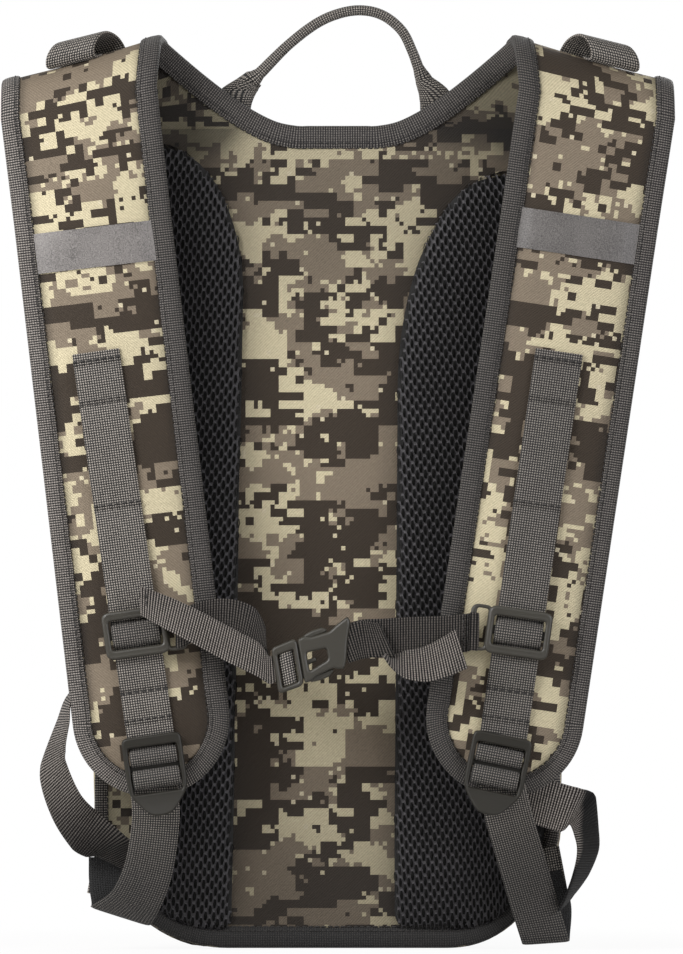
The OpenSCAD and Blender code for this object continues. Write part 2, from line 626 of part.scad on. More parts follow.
// The bag behind the panel
port_x = 25;
port_y = (bag_y + front_y) / 2;
port_wall = 2;
module side_gusset() {
    color(camo) difference() {
        slab_y(bag_y, front_y) difference() {
            polygon(bag_outline(0));
            polygon(bag_outline(cloth_t));
        }
        translate([port_x, port_y, bag_h - 2 * cloth_t]) cylinder(r = port_r + port_wall, h = 4 * cloth_t);
    }
}
module hose_port() {
    color("#2a2a2a") translate([port_x, port_y, bag_h]) difference() {
        union() {
            translate([0, 0, -cloth_t - 1]) cylinder(r = port_r + port_wall - 0.05, h = cloth_t + 2);
            cylinder(r = port_r + 2 * port_wall, h = 2);
        }
        translate([0, 0, -cloth_t - 2]) cylinder(r = port_r, h = cloth_t + 6);
    }
}
module front_panel() {
    color(camo) slab_y(front_y, skin_y) polygon(bag_outline(0));
}
module front_binding() {
    color(tape_grey) slab_y(skin_y, skin_y + bind_t) difference() {
        polygon(bag_outline(0));
        polygon(bag_outline(bind_w));
    }
}
pocket_r = 24;
pocket_y = skin_y + pocket_d;
module front_pocket() {
    color(camo) translate([0, 0, pocket_z]) difference() {
        slab_y(skin_y, pocket_y) polygon(round_box(pocket_w, pocket_h, pocket_r));
        slab_y(skin_y - 1, pocket_y - cloth_t) polygon(round_box(pocket_w, pocket_h, pocket_r, cloth_t));
    }
}

// Zips: a tape with its chain, a slider over the chain and a pull on the slider's pin
zip_t = 1.2;
chain_w = 6;
chain_t = 1.5;
slide_l = 10;
slide_w = 12;
slide_t = 5;
pin_r = 0.9;
pull_r = 2.2;
pull_len = 24;
pull_t = 2;
pin_rise = pull_r + 0.4;
main_start = slide_l / 2 + 1 - main_zip_len / 2;
pocket_zip_len = pocket_w - 2 * pocket_r;
pocket_start = slide_l / 2 + 1 - pocket_zip_len / 2;
pocket_zip_z = pocket_z + pocket_h - 30;
pin_y = zip_t + gap + slide_t + pin_rise;
module zip_tape(len, y, z) {
    color("#2f2d2b") translate([0, y, z]) {
        translate([-len / 2, 0, -zip_w / 2]) cube([len, zip_t, zip_w]);
        translate([-len / 2, zip_t, -chain_w / 2]) cube([len, chain_t, chain_w]);
    }
}
module zip_slider(x, y, z) {
    color("#6d6a63") translate([x, y, z]) {
        difference() {
            translate([-slide_l / 2, zip_t + gap, -slide_w / 2]) cube([slide_l, slide_t, slide_w]);
            translate([-slide_l, 0, -chain_w / 2 - gap])
                cube([2 * slide_l, zip_t + chain_t + gap, chain_w + 2 * gap]);
        }
        for (k = [-1, 1]) translate([-pin_r - 0.6, zip_t + gap + slide_t, k * 4.3 - 0.7])
            cube([2 * pin_r + 1.2, pin_rise + pin_r, 1.4]);
        translate([0, pin_y, -4.5]) cylinder(r = pin_r, h = 9);
    }
}
module zip_pull(x, y, z) {
    color("#57544d") translate([x, y + pin_y, z]) difference() {
        union() {
            translate([0, 0, -3.2]) cylinder(r = pull_r, h = 6.4);
            translate([-pull_len, -pull_t / 2, -3.2]) cube([pull_len, pull_t, 6.4]);
        }
        translate([0, 0, -4]) cylinder(r = pin_r + 0.08, h = 8);
    }
}

// Reservoir inside the bag, with its screw cap facing the front
tank_r = 60;
tank_y = bag_y + gap;
tank_z = cloth_t + gap;
neck_y = tank_y + tank_d;
neck_z = tank_z + tank_h - tank_r;
neck_len = 9;
neck_wall = 2.5;
cap_play = 0.4;
cap_wall = 2;
module reservoir() {
    color("#9fc3d0") difference() {
        union() {
            translate([0, 0, tank_z]) slab_y(tank_y, neck_y) polygon(round_box(tank_w, tank_h, tank_r));
            translate([0, neck_y + neck_len, neck_z]) rotate([90, 0, 0])
                cylinder(r = neck_r + neck_wall, h = neck_len + 1);
        }
        translate([0, 0, tank_z]) slab_y(tank_y + tank_wall, neck_y - tank_wall)
            polygon(round_box(tank_w, tank_h, tank_r, tank_wall));
        translate([0, neck_y + neck_len + 1, neck_z]) rotate([90, 0, 0])
            cylinder(r = neck_r, h = neck_len + 1 + 2 * tank_wall);
    }
}
gasket_t = 1.5;
module cap_gasket() {
    color("#303030") translate([0, neck_y + neck_len + gasket_t, neck_z]) rotate([90, 0, 0]) difference() {
        cylinder(r = neck_r + neck_wall, h = gasket_t);
        translate([0, 0, -1]) cylinder(r = neck_r, h = gasket_t + 2);
    }
}
module reservoir_cap() {
    depth = neck_len + gasket_t - 2;
    color("#3f6f86") translate([0, neck_y + 2, neck_z]) rotate([-90, 0, 0]) difference() {
        cylinder(r = neck_r + neck_wall + cap_play + cap_wall, h = depth + gap + cap_wall);
        translate([0, 0, -1]) cylinder(r = neck_r + neck_wall + cap_play, h = depth + gap + 1);
    }
}
outlet_z = 60;
outlet_r = 7;
module hose_outlet() {
    color("#3f6f86") translate([0, neck_y, outlet_z]) difference() {
        union() {
            rotate([-90, 0, 0]) cylinder(r = outlet_r + 4, h = 2);
            rotate([-90, 0, 0]) cylinder(r = outlet_r, h = 2 + outlet_r);
            translate([0, 2 + outlet_r, 0]) cylinder(r = port_r - 1, h = 24);
        }
        translate([0, 2 + outlet_r, 1]) cylinder(r = port_r - 2.5, h = 24);
    }
}

back_panel();
mesh_pad(LEFT);  // left_mesh_pad
mesh_pad(RIGHT);  // right_mesh_pad
panel_binding();
neck_binding();
side_gusset();
front_panel();
front_binding();
zip_tape(main_zip_len, skin_y, main_zip_z);  // main_zip_tape
front_pocket();
zip_tape(pocket_zip_len, pocket_y, pocket_zip_z);  // pocket_zip_tape
reservoir();
cap_gasket();
hose_outlet();
hose_port();
handle_anchors();
anchor_tab(LEFT);  // left_anchor_tab
anchor_tab(RIGHT);  // right_anchor_tab
lower_web(LEFT);  // left_lower_web
lower_web(RIGHT);  // right_lower_web
shoulder_pad(LEFT);  // left_shoulder_pad
shoulder_pad(RIGHT);  // right_shoulder_pad
strap_binding(LEFT);  // left_strap_binding
strap_binding(RIGHT);  // right_strap_binding
reflective_tape(LEFT);  // left_reflective_tape
reflective_tape(RIGHT);  // right_reflective_tape
strap_webbing(LEFT);  // left_strap_webbing
strap_webbing(RIGHT);  // right_strap_webbing
hose_keeper(LEFT);  // left_hose_keeper
hose_keeper(RIGHT);  // right_hose_keeper
tail_loop(LEFT);  // left_tail_loop
tail_loop(RIGHT);  // right_tail_loop
ladder_lock(LEFT);  // left_ladder_lock
ladder_lock(RIGHT);  // right_ladder_lock
lock_wrap(LEFT);  // left_lock_wrap
lock_wrap(RIGHT);  // right_lock_wrap
sternum_slider(LEFT);  // left_sternum_slider
sternum_slider(RIGHT);  // right_sternum_slider
chest_web_left();
chest_web_right();
chest_tail_left();
chest_tail_right();
buckle_female();
buckle_male();
latch_arm(true);  // latch_arm_upper
latch_arm(false);  // latch_arm_lower
grab_handle();
zip_slider(main_start, skin_y, main_zip_z);  // main_zip_slider
zip_pull(main_start, skin_y, main_zip_z);  // main_zip_pull
zip_slider(pocket_start, pocket_y, pocket_zip_z);  // pocket_zip_slider
zip_pull(pocket_start, pocket_y, pocket_zip_z);  // pocket_zip_pull
reservoir_cap();
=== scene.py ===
"""Hydration pack seen from the wearer's side: cloth, mesh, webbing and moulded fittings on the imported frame.

Lengths are in millimetres until a mesh is made. +Z is up and the wearer's side faces -Y.
"""
import math
from collections import namedtuple
from functools import partial

import bpy
import numpy as np
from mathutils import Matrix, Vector, noise


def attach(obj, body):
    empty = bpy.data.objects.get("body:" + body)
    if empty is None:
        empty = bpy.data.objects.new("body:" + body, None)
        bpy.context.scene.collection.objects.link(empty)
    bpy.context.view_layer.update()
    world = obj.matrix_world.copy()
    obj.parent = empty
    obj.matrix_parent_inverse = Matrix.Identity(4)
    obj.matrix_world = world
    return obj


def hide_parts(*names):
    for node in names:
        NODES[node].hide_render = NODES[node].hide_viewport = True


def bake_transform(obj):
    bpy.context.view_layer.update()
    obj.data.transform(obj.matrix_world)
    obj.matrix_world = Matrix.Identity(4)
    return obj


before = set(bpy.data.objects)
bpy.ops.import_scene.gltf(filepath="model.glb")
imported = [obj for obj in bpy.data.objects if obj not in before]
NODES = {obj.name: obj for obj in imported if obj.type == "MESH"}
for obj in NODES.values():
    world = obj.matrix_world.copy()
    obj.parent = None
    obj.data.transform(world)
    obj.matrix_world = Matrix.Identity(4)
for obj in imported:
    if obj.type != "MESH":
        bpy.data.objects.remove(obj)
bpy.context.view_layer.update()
MM = 0.001
LEFT, RIGHT = 0, 1
SIDES = ("left", "right")
SIGN = (-1, 1)

# Photograph: pixels, and the scale that the 25 mm webbing gives
IMAGE_W, IMAGE_H = 683, 954
PX_PER_MM = 1.9
PHOTO_MID_X = 337
PHOTO_BASE_Y = 950
CAMERA_FAR = 9000
STRAP_PLANE_Y = -74

# Sizes shared with the solids: body, bindings, shoulder straps, webs and buckle
PANEL_Y, BAG_Y, FRONT_Y, SKIN_Y = -30, -26, 30, 32
PANEL_H, BODY_W, BAG_H = 433, 256, 414
CORNER_R, CROWN_R, WING_Z, YOKE_W = 70, 90, 330, 344
BIND_W, BIND_T, NECK_SPLIT = 10, 0.9, 34
ROOT_Y, ROOT_Z, FOLD_R, FOLD_Z = -28, 433.9, 20, 446
FOLD_Y, RUN_Y = ROOT_Y - FOLD_R, ROOT_Y - 2 * FOLD_R
HALF_W, PAD_T, PAD_EDGE, MARGIN = 40, 12, 4, 11
END_Z = 122
TOP_X, END_X = (136, 137), (98, 88.5)
ROOT_IN_X, NECK_IN_X, PEAK_IN_X = 26, 74, 93
ROOT_SLOPE, FOLD_SLOPE, RUN_SLOPE, NECK_SLOPE = 0.2, 0.25, 0.21, 0.34
ROOT_FLARE, ROOT_BOW, PEAK_LIFT, NECK_REACH, SWELL_LEN = 4, 3, 3.0, 55, 60
WEB_W, WEB_T, CHEST_W = 25, 1.6, 20
WEB_TOP_Z, LOCK_Z, SLIDER_Z = 315, 112, 167
WEB_TOP_X, LOCK_X = (127, 117), (98, 87.5)
LIFT_Y, LOCK_Y = -77.2, -78.2
SLIDER_FACE, LOW_Y, BACK_Y = -3.2, LOCK_Y + 3.2, -33.8
BUCKLE_AT, BUCKLE_TILT = (-14, -84.2, 154), math.radians(20.8)
POCKET_DEPTH = 20

# How the pack hangs: the lower right edge is drawn in, and the buckle and right lock are turned a little
SAG, SAG_X, SAG_SPAN_X, SAG_Z, SAG_SPAN_Z = 10, 60, 68, 200, 100
BUCKLE_SKEW = 0.2
LOCK_TURN = 0.06

# Widths of the strap bindings, and the step of the fold at which the neckline's tape takes over
OUTER_TAPE, INNER_TAPE, PEAK_STEP = 8.4, 10, 9

# Where each cloth is cut from the print
PRINT_SHIFT = 45
STRAP_PRINT, STRAP_PRINT_STEP = 1500, 300
BACK_PRINT, GUSSET_PRINT, FRONT_PRINT, POCKET_PRINT = 500, 700, 900, 1300

# Painted shade on the strap's lining and under the yoke, and how strongly painted shade darkens tapes, webs
# and plastic
LINING_SHADE = 0.72
PAINTED_SHADE_STRENGTH = 1.35


def mix(a, b, f):
    return a + (b - a) * f


def clamp01(f):
    return max(0.0, min(1.0, f))


def ease(f):
    f = clamp01(f)
    return f * f * (3 - 2 * f)


def turn(degrees):
    """Cosine and sine of an angle."""
    return math.cos(math.radians(degrees)), math.sin(math.radians(degrees))


def bell(x, middle, width):
    """1 in the middle, and fading to 0 on both sides."""
    return math.exp(-((x - middle) / width) ** 2)


def unit(v):
    v = np.asarray(v, float)
    return v / np.linalg.norm(v)


def linear(hex_colour):
    """sRGB hex to the linear colour that a shader takes."""
    parts = [int(hex_colour[i:i + 2], 16) / 255 for i in (1, 3, 5)]
    return [c / 12.92 if c <= 0.04045 else ((c + 0.055) / 1.055) ** 2.4 for c in parts] + [1.0]


def add(tree, kind, settings=None, inputs=None):
    """Adds a node with its settings, and sets or links its inputs. A node stands for its first output."""
    made = tree.nodes.new(kind)
    for name, value in (settings or {}).items():
        setattr(made, name, value)
    for key, value in (inputs or {}).items():
        if isinstance(value, bpy.types.Node):
            value = value.outputs[0]
        if isinstance(value, bpy.types.NodeSocket):
            tree.links.new(value, made.inputs[key])
        else:
            made.inputs[key].default_value = value
    return made


# Materials

def new_material(name):
    material = bpy.data.materials.new(name)
    material.use_nodes = True
    tree = material.node_tree
    tree.nodes.clear()
    shader = add(tree, "ShaderNodeBsdfPrincipled")
    add(tree, "ShaderNodeOutputMaterial", None, {"Surface": shader})
    return material, tree, shader


def weighted_sum(tree, start, terms):
    """Adds up values, each times its weight."""
    total = start
    for value, weight in terms:
        total = add(tree, "ShaderNodeMath", {"operation": "MULTIPLY_ADD"}, {0: value, 1: weight, 2: total})
    return total


def painted_shade_colour(tree, colour, strength, tone=1.0):
    """The colour times a tone, and darkened by the painted shade marked on the piece."""
    painted_shade = add(tree, "ShaderNodeAttribute", {"attribute_name": "painted_shade"})
    left = add(tree, "ShaderNodeMath", {"operation": "MULTIPLY_ADD", "use_clamp": True},
               {0: painted_shade.outputs["Fac"], 1: -strength, 2: 1.0})
    tone = add(tree, "ShaderNodeMath", {"operation": "MULTIPLY"}, {0: left, 1: tone})
    return add(tree, "ShaderNodeVectorMath", {"operation": "SCALE"},
               {0: colour.outputs["Result"], "Scale": tone})


def set_surface(tree, shader, colour, roughness, gloss, relief):
    """Colour, finish and relief of a shader. The relief is a height, its strength and its depth in metres."""
    height, strength, depth = relief
    bump = add(tree, "ShaderNodeBump", None, {"Strength": strength, "Distance": depth, "Height": height})
    tree.links.new(colour.outputs[0], shader.inputs["Base Color"])
    tree.links.new(bump.outputs[0], shader.inputs["Normal"])
    shader.inputs["Roughness"].default_value = roughness
    shader.inputs["Specular IOR Level"].default_value = gloss


def camo_polyester(name, seed):
    """Pixel camouflage printed on polyester twill: matte, with square print cells and fine diagonal ribs."""
    material, tree, shader = new_material(name)
    cell, fine, big, small = 4.4, 2.2, 36.0, 11.0
    # Twill ribs are really about 0.6 mm apart, and are drawn coarser so that they show
    twill_pitch, wave_band = 1.15, 0.444
    uv = add(tree, "ShaderNodeUVMap", {"uv_map": "cloth"})
    floors = []
    for size in (cell, fine):
        scaled = add(tree, "ShaderNodeVectorMath", {"operation": "SCALE"}, {0: uv, "Scale": 1 / (size * MM)})
        floors.append(add(tree, "ShaderNodeVectorMath", {"operation": "FLOOR"}, {0: scaled}))
    rough, crumb = (add(tree, "ShaderNodeTexWhiteNoise", {"noise_dimensions": "3D"}, {"Vector": floor})
                    for floor in floors)
    # Two broken fields, one for each darker colour: wide bodies, ragged edges and single cells
    fields = []
    for k, stretch in enumerate(((0.8, 1.25, 1), (0.85, 1.2, 1))):
        shift = (seed * 7.3 + 31 * k, seed * 3.1 - 17 * k, seed + 5.5 * k)
        clouds = []
        for floor, size, length in ((floors[0], cell, big), (floors[k], (cell, fine)[k], small)):
            place = add(tree, "ShaderNodeVectorMath", {"operation": "MULTIPLY_ADD"},
                        {0: floor, 1: [v * size / length for v in stretch], 2: shift})
            cloud = add(tree, "ShaderNodeTexNoise", None, {"Vector": place, "Scale": 1.0, "Detail": 1.0})
            clouds.append(cloud)
        terms = ((clouds[0], 1.0), (clouds[1], 0.66), (rough.outputs["Value"], 0.12),
                 (crumb.outputs["Value"], 0.045))
        fields.append(weighted_sum(tree, 0.0, terms))
    colour = None
    for value, least, shade_hex in ((fields[1], 0.9, "#7c7060"), (fields[0], 0.935, "#32291f"),
                                    (crumb.outputs["Value"], 0.991, "#c8bea2")):
        chosen = add(tree, "ShaderNodeMath", {"operation": "GREATER_THAN"}, {0: value, 1: least})
        under = colour.outputs["Result"] if colour else linear("#c4ba9b")
        colour = add(tree, "ShaderNodeMix", {"data_type": "RGBA"},
                     {"Factor": chosen, "A": under, "B": linear(shade_hex)})
    mirrored = add(tree, "ShaderNodeVectorMath", {"operation": "MULTIPLY"}, {0: uv, 1: (-1.0, 1.0, 1.0)})
    ribs = add(tree, "ShaderNodeTexWave", {"wave_type": "BANDS", "bands_direction": "DIAGONAL"},
               {"Vector": mirrored, "Scale": wave_band / (twill_pitch * MM),
                "Distortion": 1.2, "Detail": 1.0})
    grain = add(tree, "ShaderNodeTexNoise", None, {"Vector": uv, "Scale": 700.0, "Detail": 2.0})
    wear = add(tree, "ShaderNodeTexNoise", None, {"Vector": uv, "Scale": 22.0, "Detail": 3.0})
    tone = weighted_sum(tree, 0.52, ((ribs.outputs["Fac"], 0.22), (grain, 0.42), (wear, 0.2)))
    height = weighted_sum(tree, ribs.outputs["Fac"], ((grain, 0.8),))
    colour = painted_shade_colour(tree, colour, 1.0, tone)
    set_surface(tree, shader, colour, 0.78, 0.34, (height, 0.35, 0.0004))
    return material


def woven_tape(name, hex_low, hex_high, along, across, rows, relief, gloss):
    """Woven tape, lighter where its yarns rise: in dots, or in lines across as rows nears 1.

    along and across are the pitches of the yarns in mm, and relief is how far the dots stand out.
    """
    material, tree, shader = new_material(name)
    uv = add(tree, "ShaderNodeUVMap", {"uv_map": "cloth"})
    split = add(tree, "ShaderNodeSeparateXYZ", None, {0: uv})
    waves = []
    for socket, pitch, low in (("X", along, 0.0), ("Y", across, rows)):
        phase = add(tree, "ShaderNodeMath", {"operation": "MULTIPLY"},
                    {0: split.outputs[socket], 1: 2 * math.pi / (pitch * MM)})
        wave = add(tree, "ShaderNodeMath", {"operation": "SINE"}, {0: phase})
        waves.append(weighted_sum(tree, 0.5 + low / 2, ((wave, 0.5 - low / 2),)))
    dots = add(tree, "ShaderNodeMath", {"operation": "MULTIPLY"}, {0: waves[0], 1: waves[1]})
    yarn = add(tree, "ShaderNodeTexNoise", None, {"Vector": uv, "Scale": 650.0, "Detail": 2.0})
    patch = add(tree, "ShaderNodeTexNoise", None, {"Vector": uv, "Scale": 45.0, "Detail": 2.0})
    ground = -0.15 - relief * 0.25 * (1 + rows)
    tone = weighted_sum(tree, ground, ((dots, relief), (yarn, 0.56), (patch, 0.25)))
    colour = add(tree, "ShaderNodeMix", {"data_type": "RGBA"},
                 {"Factor": tone, "A": linear(hex_low), "B": linear(hex_high)})
    colour = painted_shade_colour(tree, colour, PAINTED_SHADE_STRENGTH)
    set_surface(tree, shader, colour, 0.74, gloss, (dots, 0.5, 0.0006))
    shader.inputs["Sheen Weight"].default_value = 0.08
    return material


def plain_grain(name, hex_low, hex_high, grain_mm, roughness, bump_strength, contrast=0.7, gloss=0.5):
    """A surface with one fine grain in colour and relief: foam, thread, coated tape or moulded plastic."""
    material, tree, shader = new_material(name)
    place = add(tree, "ShaderNodeTexCoord").outputs["Object"]
    grain = add(tree, "ShaderNodeTexNoise", None,
                {"Vector": place, "Scale": 1 / (grain_mm * MM), "Detail": 3.0})
    cloud = add(tree, "ShaderNodeTexNoise", None, {"Vector": place, "Scale": 60.0, "Detail": 2.0})
    tone = weighted_sum(tree, 0.2 - contrast / 2, ((grain, contrast), (cloud, 0.6)))
    colour = add(tree, "ShaderNodeMix", {"data_type": "RGBA"},
                 {"Factor": tone, "A": linear(hex_low), "B": linear(hex_high)})
    colour = painted_shade_colour(tree, colour, PAINTED_SHADE_STRENGTH)
    set_surface(tree, shader, colour, roughness, gloss, (grain, bump_strength, 0.0003))
    return material


# Printed twill: dull cloth, its square print broken by fine diagonal ribs
CAMO = camo_polyester("printed_polyester_twill", 2.0)
# Tapes and webs: dark yarn with pale raised dots. The real weaves are about a third finer, and wouldn't show
TAPE = woven_tape("grosgrain_binding", "#0d0c0c", "#9d968f", 1.3, 1.3, 0.35, 1.5, 0.38)
WEBBING = woven_tape("polypropylene_webbing", "#090908", "#a29b92", 1.3, 1.3, 0.0, 2.2, 0.45)
RIBBED = woven_tape("ribbed_polyester_webbing", "#0d0c0c", "#9a938c", 1.45, 1.3, 0.5, 1.4, 0.12)
# Knitted net over an open foam: black strands with a faint shine over a duller, darker ground
NET = plain_grain("knitted_spacer_net", "#191819", "#434144", 0.8, 0.62, 0.5)
FOAM = plain_grain("spacer_mesh_core", "#090908", "#161514", 1.2, 0.9, 0.5)
# Glass beads on a grey tape: an even silver-grey sparkle
REFLECTIVE = plain_grain("glass_bead_reflective_tape", "#4b4846", "#8c8885", 0.6, 0.5, 0.3, 2.2)
# Moulded acetal: olive-black and satin. The locks take a darker, duller copy, painted shade for where they
# hang at the foot of the straps
ACETAL = plain_grain("moulded_acetal", "#26241d", "#35322a", 0.45, 0.42, 0.12)
SHADED_ACETAL = plain_grain("shaded_moulded_acetal", "#1b1914", "#26241e", 0.45, 0.42, 0.12, gloss=0.275)
# Twisted thread: small dull dark strokes
THREAD = plain_grain("dark_polyester_thread", "#151311", "#272422", 0.4, 0.7, 0.4)
# Zip: fuzzy dark tape, and castings under a smooth grey paint
ZIP_TAPE = plain_grain("woven_zip_tape", "#262422", "#3a3734", 0.8, 0.8, 0.4)
ZIP_METAL = plain_grain("painted_zinc_casting", "#55524a", "#68645b", 0.5, 0.38, 0.1)
# Reservoir: smooth bluish film, a moulded blue cap and dull black rubber
FILM = plain_grain("polyurethane_film", "#8fb4c2", "#a9ccd8", 3.0, 0.25, 0.05)
CAP = plain_grain("moulded_polypropylene", "#376678", "#43758a", 0.6, 0.35, 0.08)
RUBBER = plain_grain("moulded_rubber", "#202020", "#303030", 0.6, 0.7, 0.2)


# Meshes

def fit(piece, body, slot, *nodes):
    """Rides a piece on a body and puts it in place of the solids that it stands for. The slot is not used."""
    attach(piece, body)
    if nodes:
        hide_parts(*nodes)


def build(name, points, faces, corner_uvs, material, sharp=50):
    """Object at the origin from points in mm, with one uv pair in mm for each face corner."""
    mesh = bpy.data.meshes.new(name)
    mesh.from_pydata([[c * MM for c in p] for p in points], [], faces)
    layer = mesh.uv_layers.new(name="cloth")
    layer.data.foreach_set("uv", [c * MM for pair in corner_uvs for c in pair])
    mesh.materials.append(material)
    mesh.polygons.foreach_set("use_smooth", [True] * len(mesh.polygons))
    mesh.set_sharp_from_angle(angle=math.radians(sharp))
    obj = bpy.data.objects.new(name, mesh)
    bpy.context.collection.objects.link(obj)
    return obj


def loft(name, rings, uv, material, sharp=50):
    """Closed skin through rings of points, with end caps. uv has one more column than a ring."""
    rings, uv = np.asarray(rings, float), np.asarray(uv, float)
    count, n = rings.shape[:2]
    faces, corners = [], []
    for i in range(count - 1):
        for j in range(n):
            k = (j + 1) % n
            faces.append([i * n + j, i * n + k, (i + 1) * n + k, (i + 1) * n + j])
            corners.append([uv[i, j], uv[i, j + 1], uv[i + 1, j + 1], uv[i + 1, j]])
    for i, order in ((0, -1), (count - 1, 1)):
        faces.append([i * n + j for j in range(n)][::order])
        corners.append([uv[i, j] for j in range(n)][::order])
    points = rings.reshape(-1, 3)
    volume = sum(np.dot(points[f[0]], np.cross(points[f[k]], points[f[k + 1]]))
                 for f in faces for k in range(1, len(f) - 1))
    if volume < 0:
        faces = [f[::-1] for f in faces]
        corners = [c[::-1] for c in corners]
    return build(name, points, faces, [pair for face in corners for pair in face], material, sharp)


def mark_painted_shade(obj, values):
    obj.data.attributes.new("painted_shade", "FLOAT", "POINT").data.foreach_set("value", values)


def shade(obj, depth):
    """Paints shade on a piece: how far it is darkened at each point, by one number or a function of the point
    in mm.
    """
    at = depth if callable(depth) else lambda x, y, z: depth
    mark_painted_shade(obj, [clamp01(at(*(c / MM for c in v.co))) for v in obj.data.vertices])


def curve_through(points, step):
    """Catmull-Rom curve through points, sampled about every step. Gives places and their control indices."""
    p = np.asarray(points, float)
    p = np.vstack([2 * p[0] - p[1], p, 2 * p[-1] - p[-2]])
    places, indices = [], []
    for i in range(1, len(p) - 2):
        pieces = max(2, int(np.linalg.norm(p[i + 1] - p[i]) / step))
        for k in range(pieces):
            f = k / pieces
            a, b, c, d = p[i - 1], p[i], p[i + 1], p[i + 2]
            places.append(0.5 * (2 * b + (c - a) * f + (2 * a - 5 * b + 4 * c - d) * f ** 2
                                 + (3 * b - a - 3 * c + d) * f ** 3))
            indices.append(i - 1 + f)
    places.append(p[-2])
    indices.append(len(p) - 3)
    return np.array(places), np.array(indices)


def lengths_along(points):
    steps = np.linalg.norm(np.diff(np.asarray(points, float), axis=0), axis=1)
    return np.concatenate([[0], np.cumsum(steps)])


def filled_in(points, gap):
    """Closed outline with points added so that they are less than twice the gap apart."""
    full = []
    for i, p in enumerate(points):
        q = points[(i + 1) % len(points)]
        pieces = max(1, int(math.dist(p, q) / gap))
        full += [(mix(p[0], q[0], k / pieces), mix(p[1], q[1], k / pieces)) for k in range(pieces)]
    return full


def flat_uv(xs, z):
    """The uv of a ring that runs along xs and back at height z."""
    return [(x, z) for x in xs] + [(x, z) for x in xs[::-1]] + [(xs[0], z)]


def band(name, path, wides, width, thick, material, step=2.0, square=True):
    """Webbing along a path, with rounded selvedges. Unless square, the half widths stay as given."""
    places, indices = curve_through(path, step)
    wides = np.asarray(wides, float)
    across = np.cos(np.pi * np.arange(13) / 12)
    rows, uv = [], []
    for place, index, ahead, s in zip(places, indices, np.gradient(places, axis=0), lengths_along(places)):
        low = min(int(index), len(wides) - 2)
        wide = mix(wides[low], wides[low + 1], index - low)
        if square:
            wide = unit(wide - unit(ahead) * np.dot(wide, unit(ahead)))
        thin = unit(np.cross(ahead, wide)) * thick / 2
        top = [place + wide * a * width / 2 + thin * math.sqrt(1 - a ** 8) for a in across]
        under = [place + wide * a * width / 2 - thin * math.sqrt(1 - a ** 8) for a in across[::-1]]
        rows.append(top + under[1:-1])
        around = np.concatenate([across * width / 2, -width - across[::-1][1:] * width / 2])
        uv.append([(s, v) for v in around])
    return loft(name, rows, uv, material, sharp=60)


stitch_runs = {}


def stitch(body, points):
    """Keeps a line of stitches for the body. All of a body's lines are made together at the end."""
    stitch_runs.setdefault(body, []).append(np.asarray(points, float))


# Straps. A row across a strap is its depth and height, its normal in y and z, its inner and outer edge,
# the slope across, how far the pad swells, half the swollen width, and the lift of the inner edge that
# draws the curve of the neck
Row = namedtuple("Row", "y z ny nz inner outer slope swell half lift")


def lean(s):
    return (TOP_X[s] - END_X[s]) / (FOLD_Z - END_Z)


def strap_mid(s, z):
    return END_X[s] + lean(s) * (z - END_Z)


def web_lean(s):
    return (WEB_TOP_X[s] - LOCK_X[s]) / (WEB_TOP_Z - LOCK_Z)


def web_x(s, z):
    return LOCK_X[s] + web_lean(s) * (z - LOCK_Z)


def root_row(f):
    xi, xo = mix(ROOT_IN_X, NECK_IN_X, f), mix(YOKE_W / 2, YOKE_W / 2 + ROOT_FLARE, f)
    bow = ROOT_BOW * f * (1 - f)
    half = (xo - xi) / 2
    lift = (NECK_SLOPE * f * f - ROOT_SLOPE * f) * half - bow
    z = mix(ROOT_Z, FOLD_Z, f) + bow
    return Row(ROOT_Y, z, 1, 0, xi, xo, ROOT_SLOPE * f, 0, half - MARGIN, lift)


def fold_row(s, a):
    f = a / 180
    c, d = turn(a)
    xi = mix(NECK_IN_X, PEAK_IN_X, d) if a < 90 else mix(PEAK_IN_X, TOP_X[s] - HALF_W, 2 * f - 1)
    xo = mix(YOKE_W / 2 + ROOT_FLARE, TOP_X[s] + HALF_W, f)
    if f < 0.5:
        slope = mix(ROOT_SLOPE, FOLD_SLOPE, 2 * f)
        lift = mix((NECK_SLOPE - ROOT_SLOPE) * (xo - xi) / 2, PEAK_LIFT, 2 * f)
    else:
        slope = mix(FOLD_SLOPE, RUN_SLOPE, 2 * f - 1)
        lift = PEAK_LIFT * (2 - 2 * f)
    return Row(FOLD_Y + FOLD_R * c, FOLD_Z + FOLD_R * d, c, d, xi, xo, slope, 0, (xo - xi) / 2 - MARGIN, lift)


def run_row(s, z):
    f, mid = clamp01((FOLD_Z - z) / SWELL_LEN), strap_mid(s, z)
    slope = mix(RUN_SLOPE, lean(s), f)
    return Row(RUN_Y, z, -1, 0, mid - HALF_W, mid + HALF_W, slope, f, HALF_W - MARGIN, 0)


def end_row(s, a):
    c, d = turn(a)
    z = END_Z - HALF_W * d
    mid, h = strap_mid(s, z), HALF_W * c
    full = HALF_W - MARGIN
    inner = math.sqrt(max(0, full ** 2 - (HALF_W * d) ** 2))
    return Row(RUN_Y, z, -1, 0, mid - h, mid + h, lean(s), inner / full, max(inner, h * 0.3), 0)


ROOT_STEPS = [i / 8 for i in range(8)]
FOLD_STEPS = [6 * i for i in range(30)]
RUN_STEPS = [FOLD_Z - 3 * i for i in range(108)]
END_STEPS = list(range(0, 60, 5)) + list(range(60, 85, 4)) + [87]
HEM = 3


def strap_rows(s):
    return ([root_row(0)._replace(z=ROOT_Z - HEM)] + [root_row(f) for f in ROOT_STEPS]
            + [fold_row(s, a) for a in FOLD_STEPS]
            + [run_row(s, z) for z in RUN_STEPS] + [end_row(s, a) for a in END_STEPS])


def row_mid(row):
    return (row.inner + row.outer) / 2


def row_point(s, row, x, off):
    lift = row.lift * max(0, 1 - (x - row.inner) / NECK_REACH)
    z = row.z + lift + row.slope * (row_mid(row) - x) + row.nz * off
    return np.array([SIGN[s] * x, row.y + row.ny * off, z])


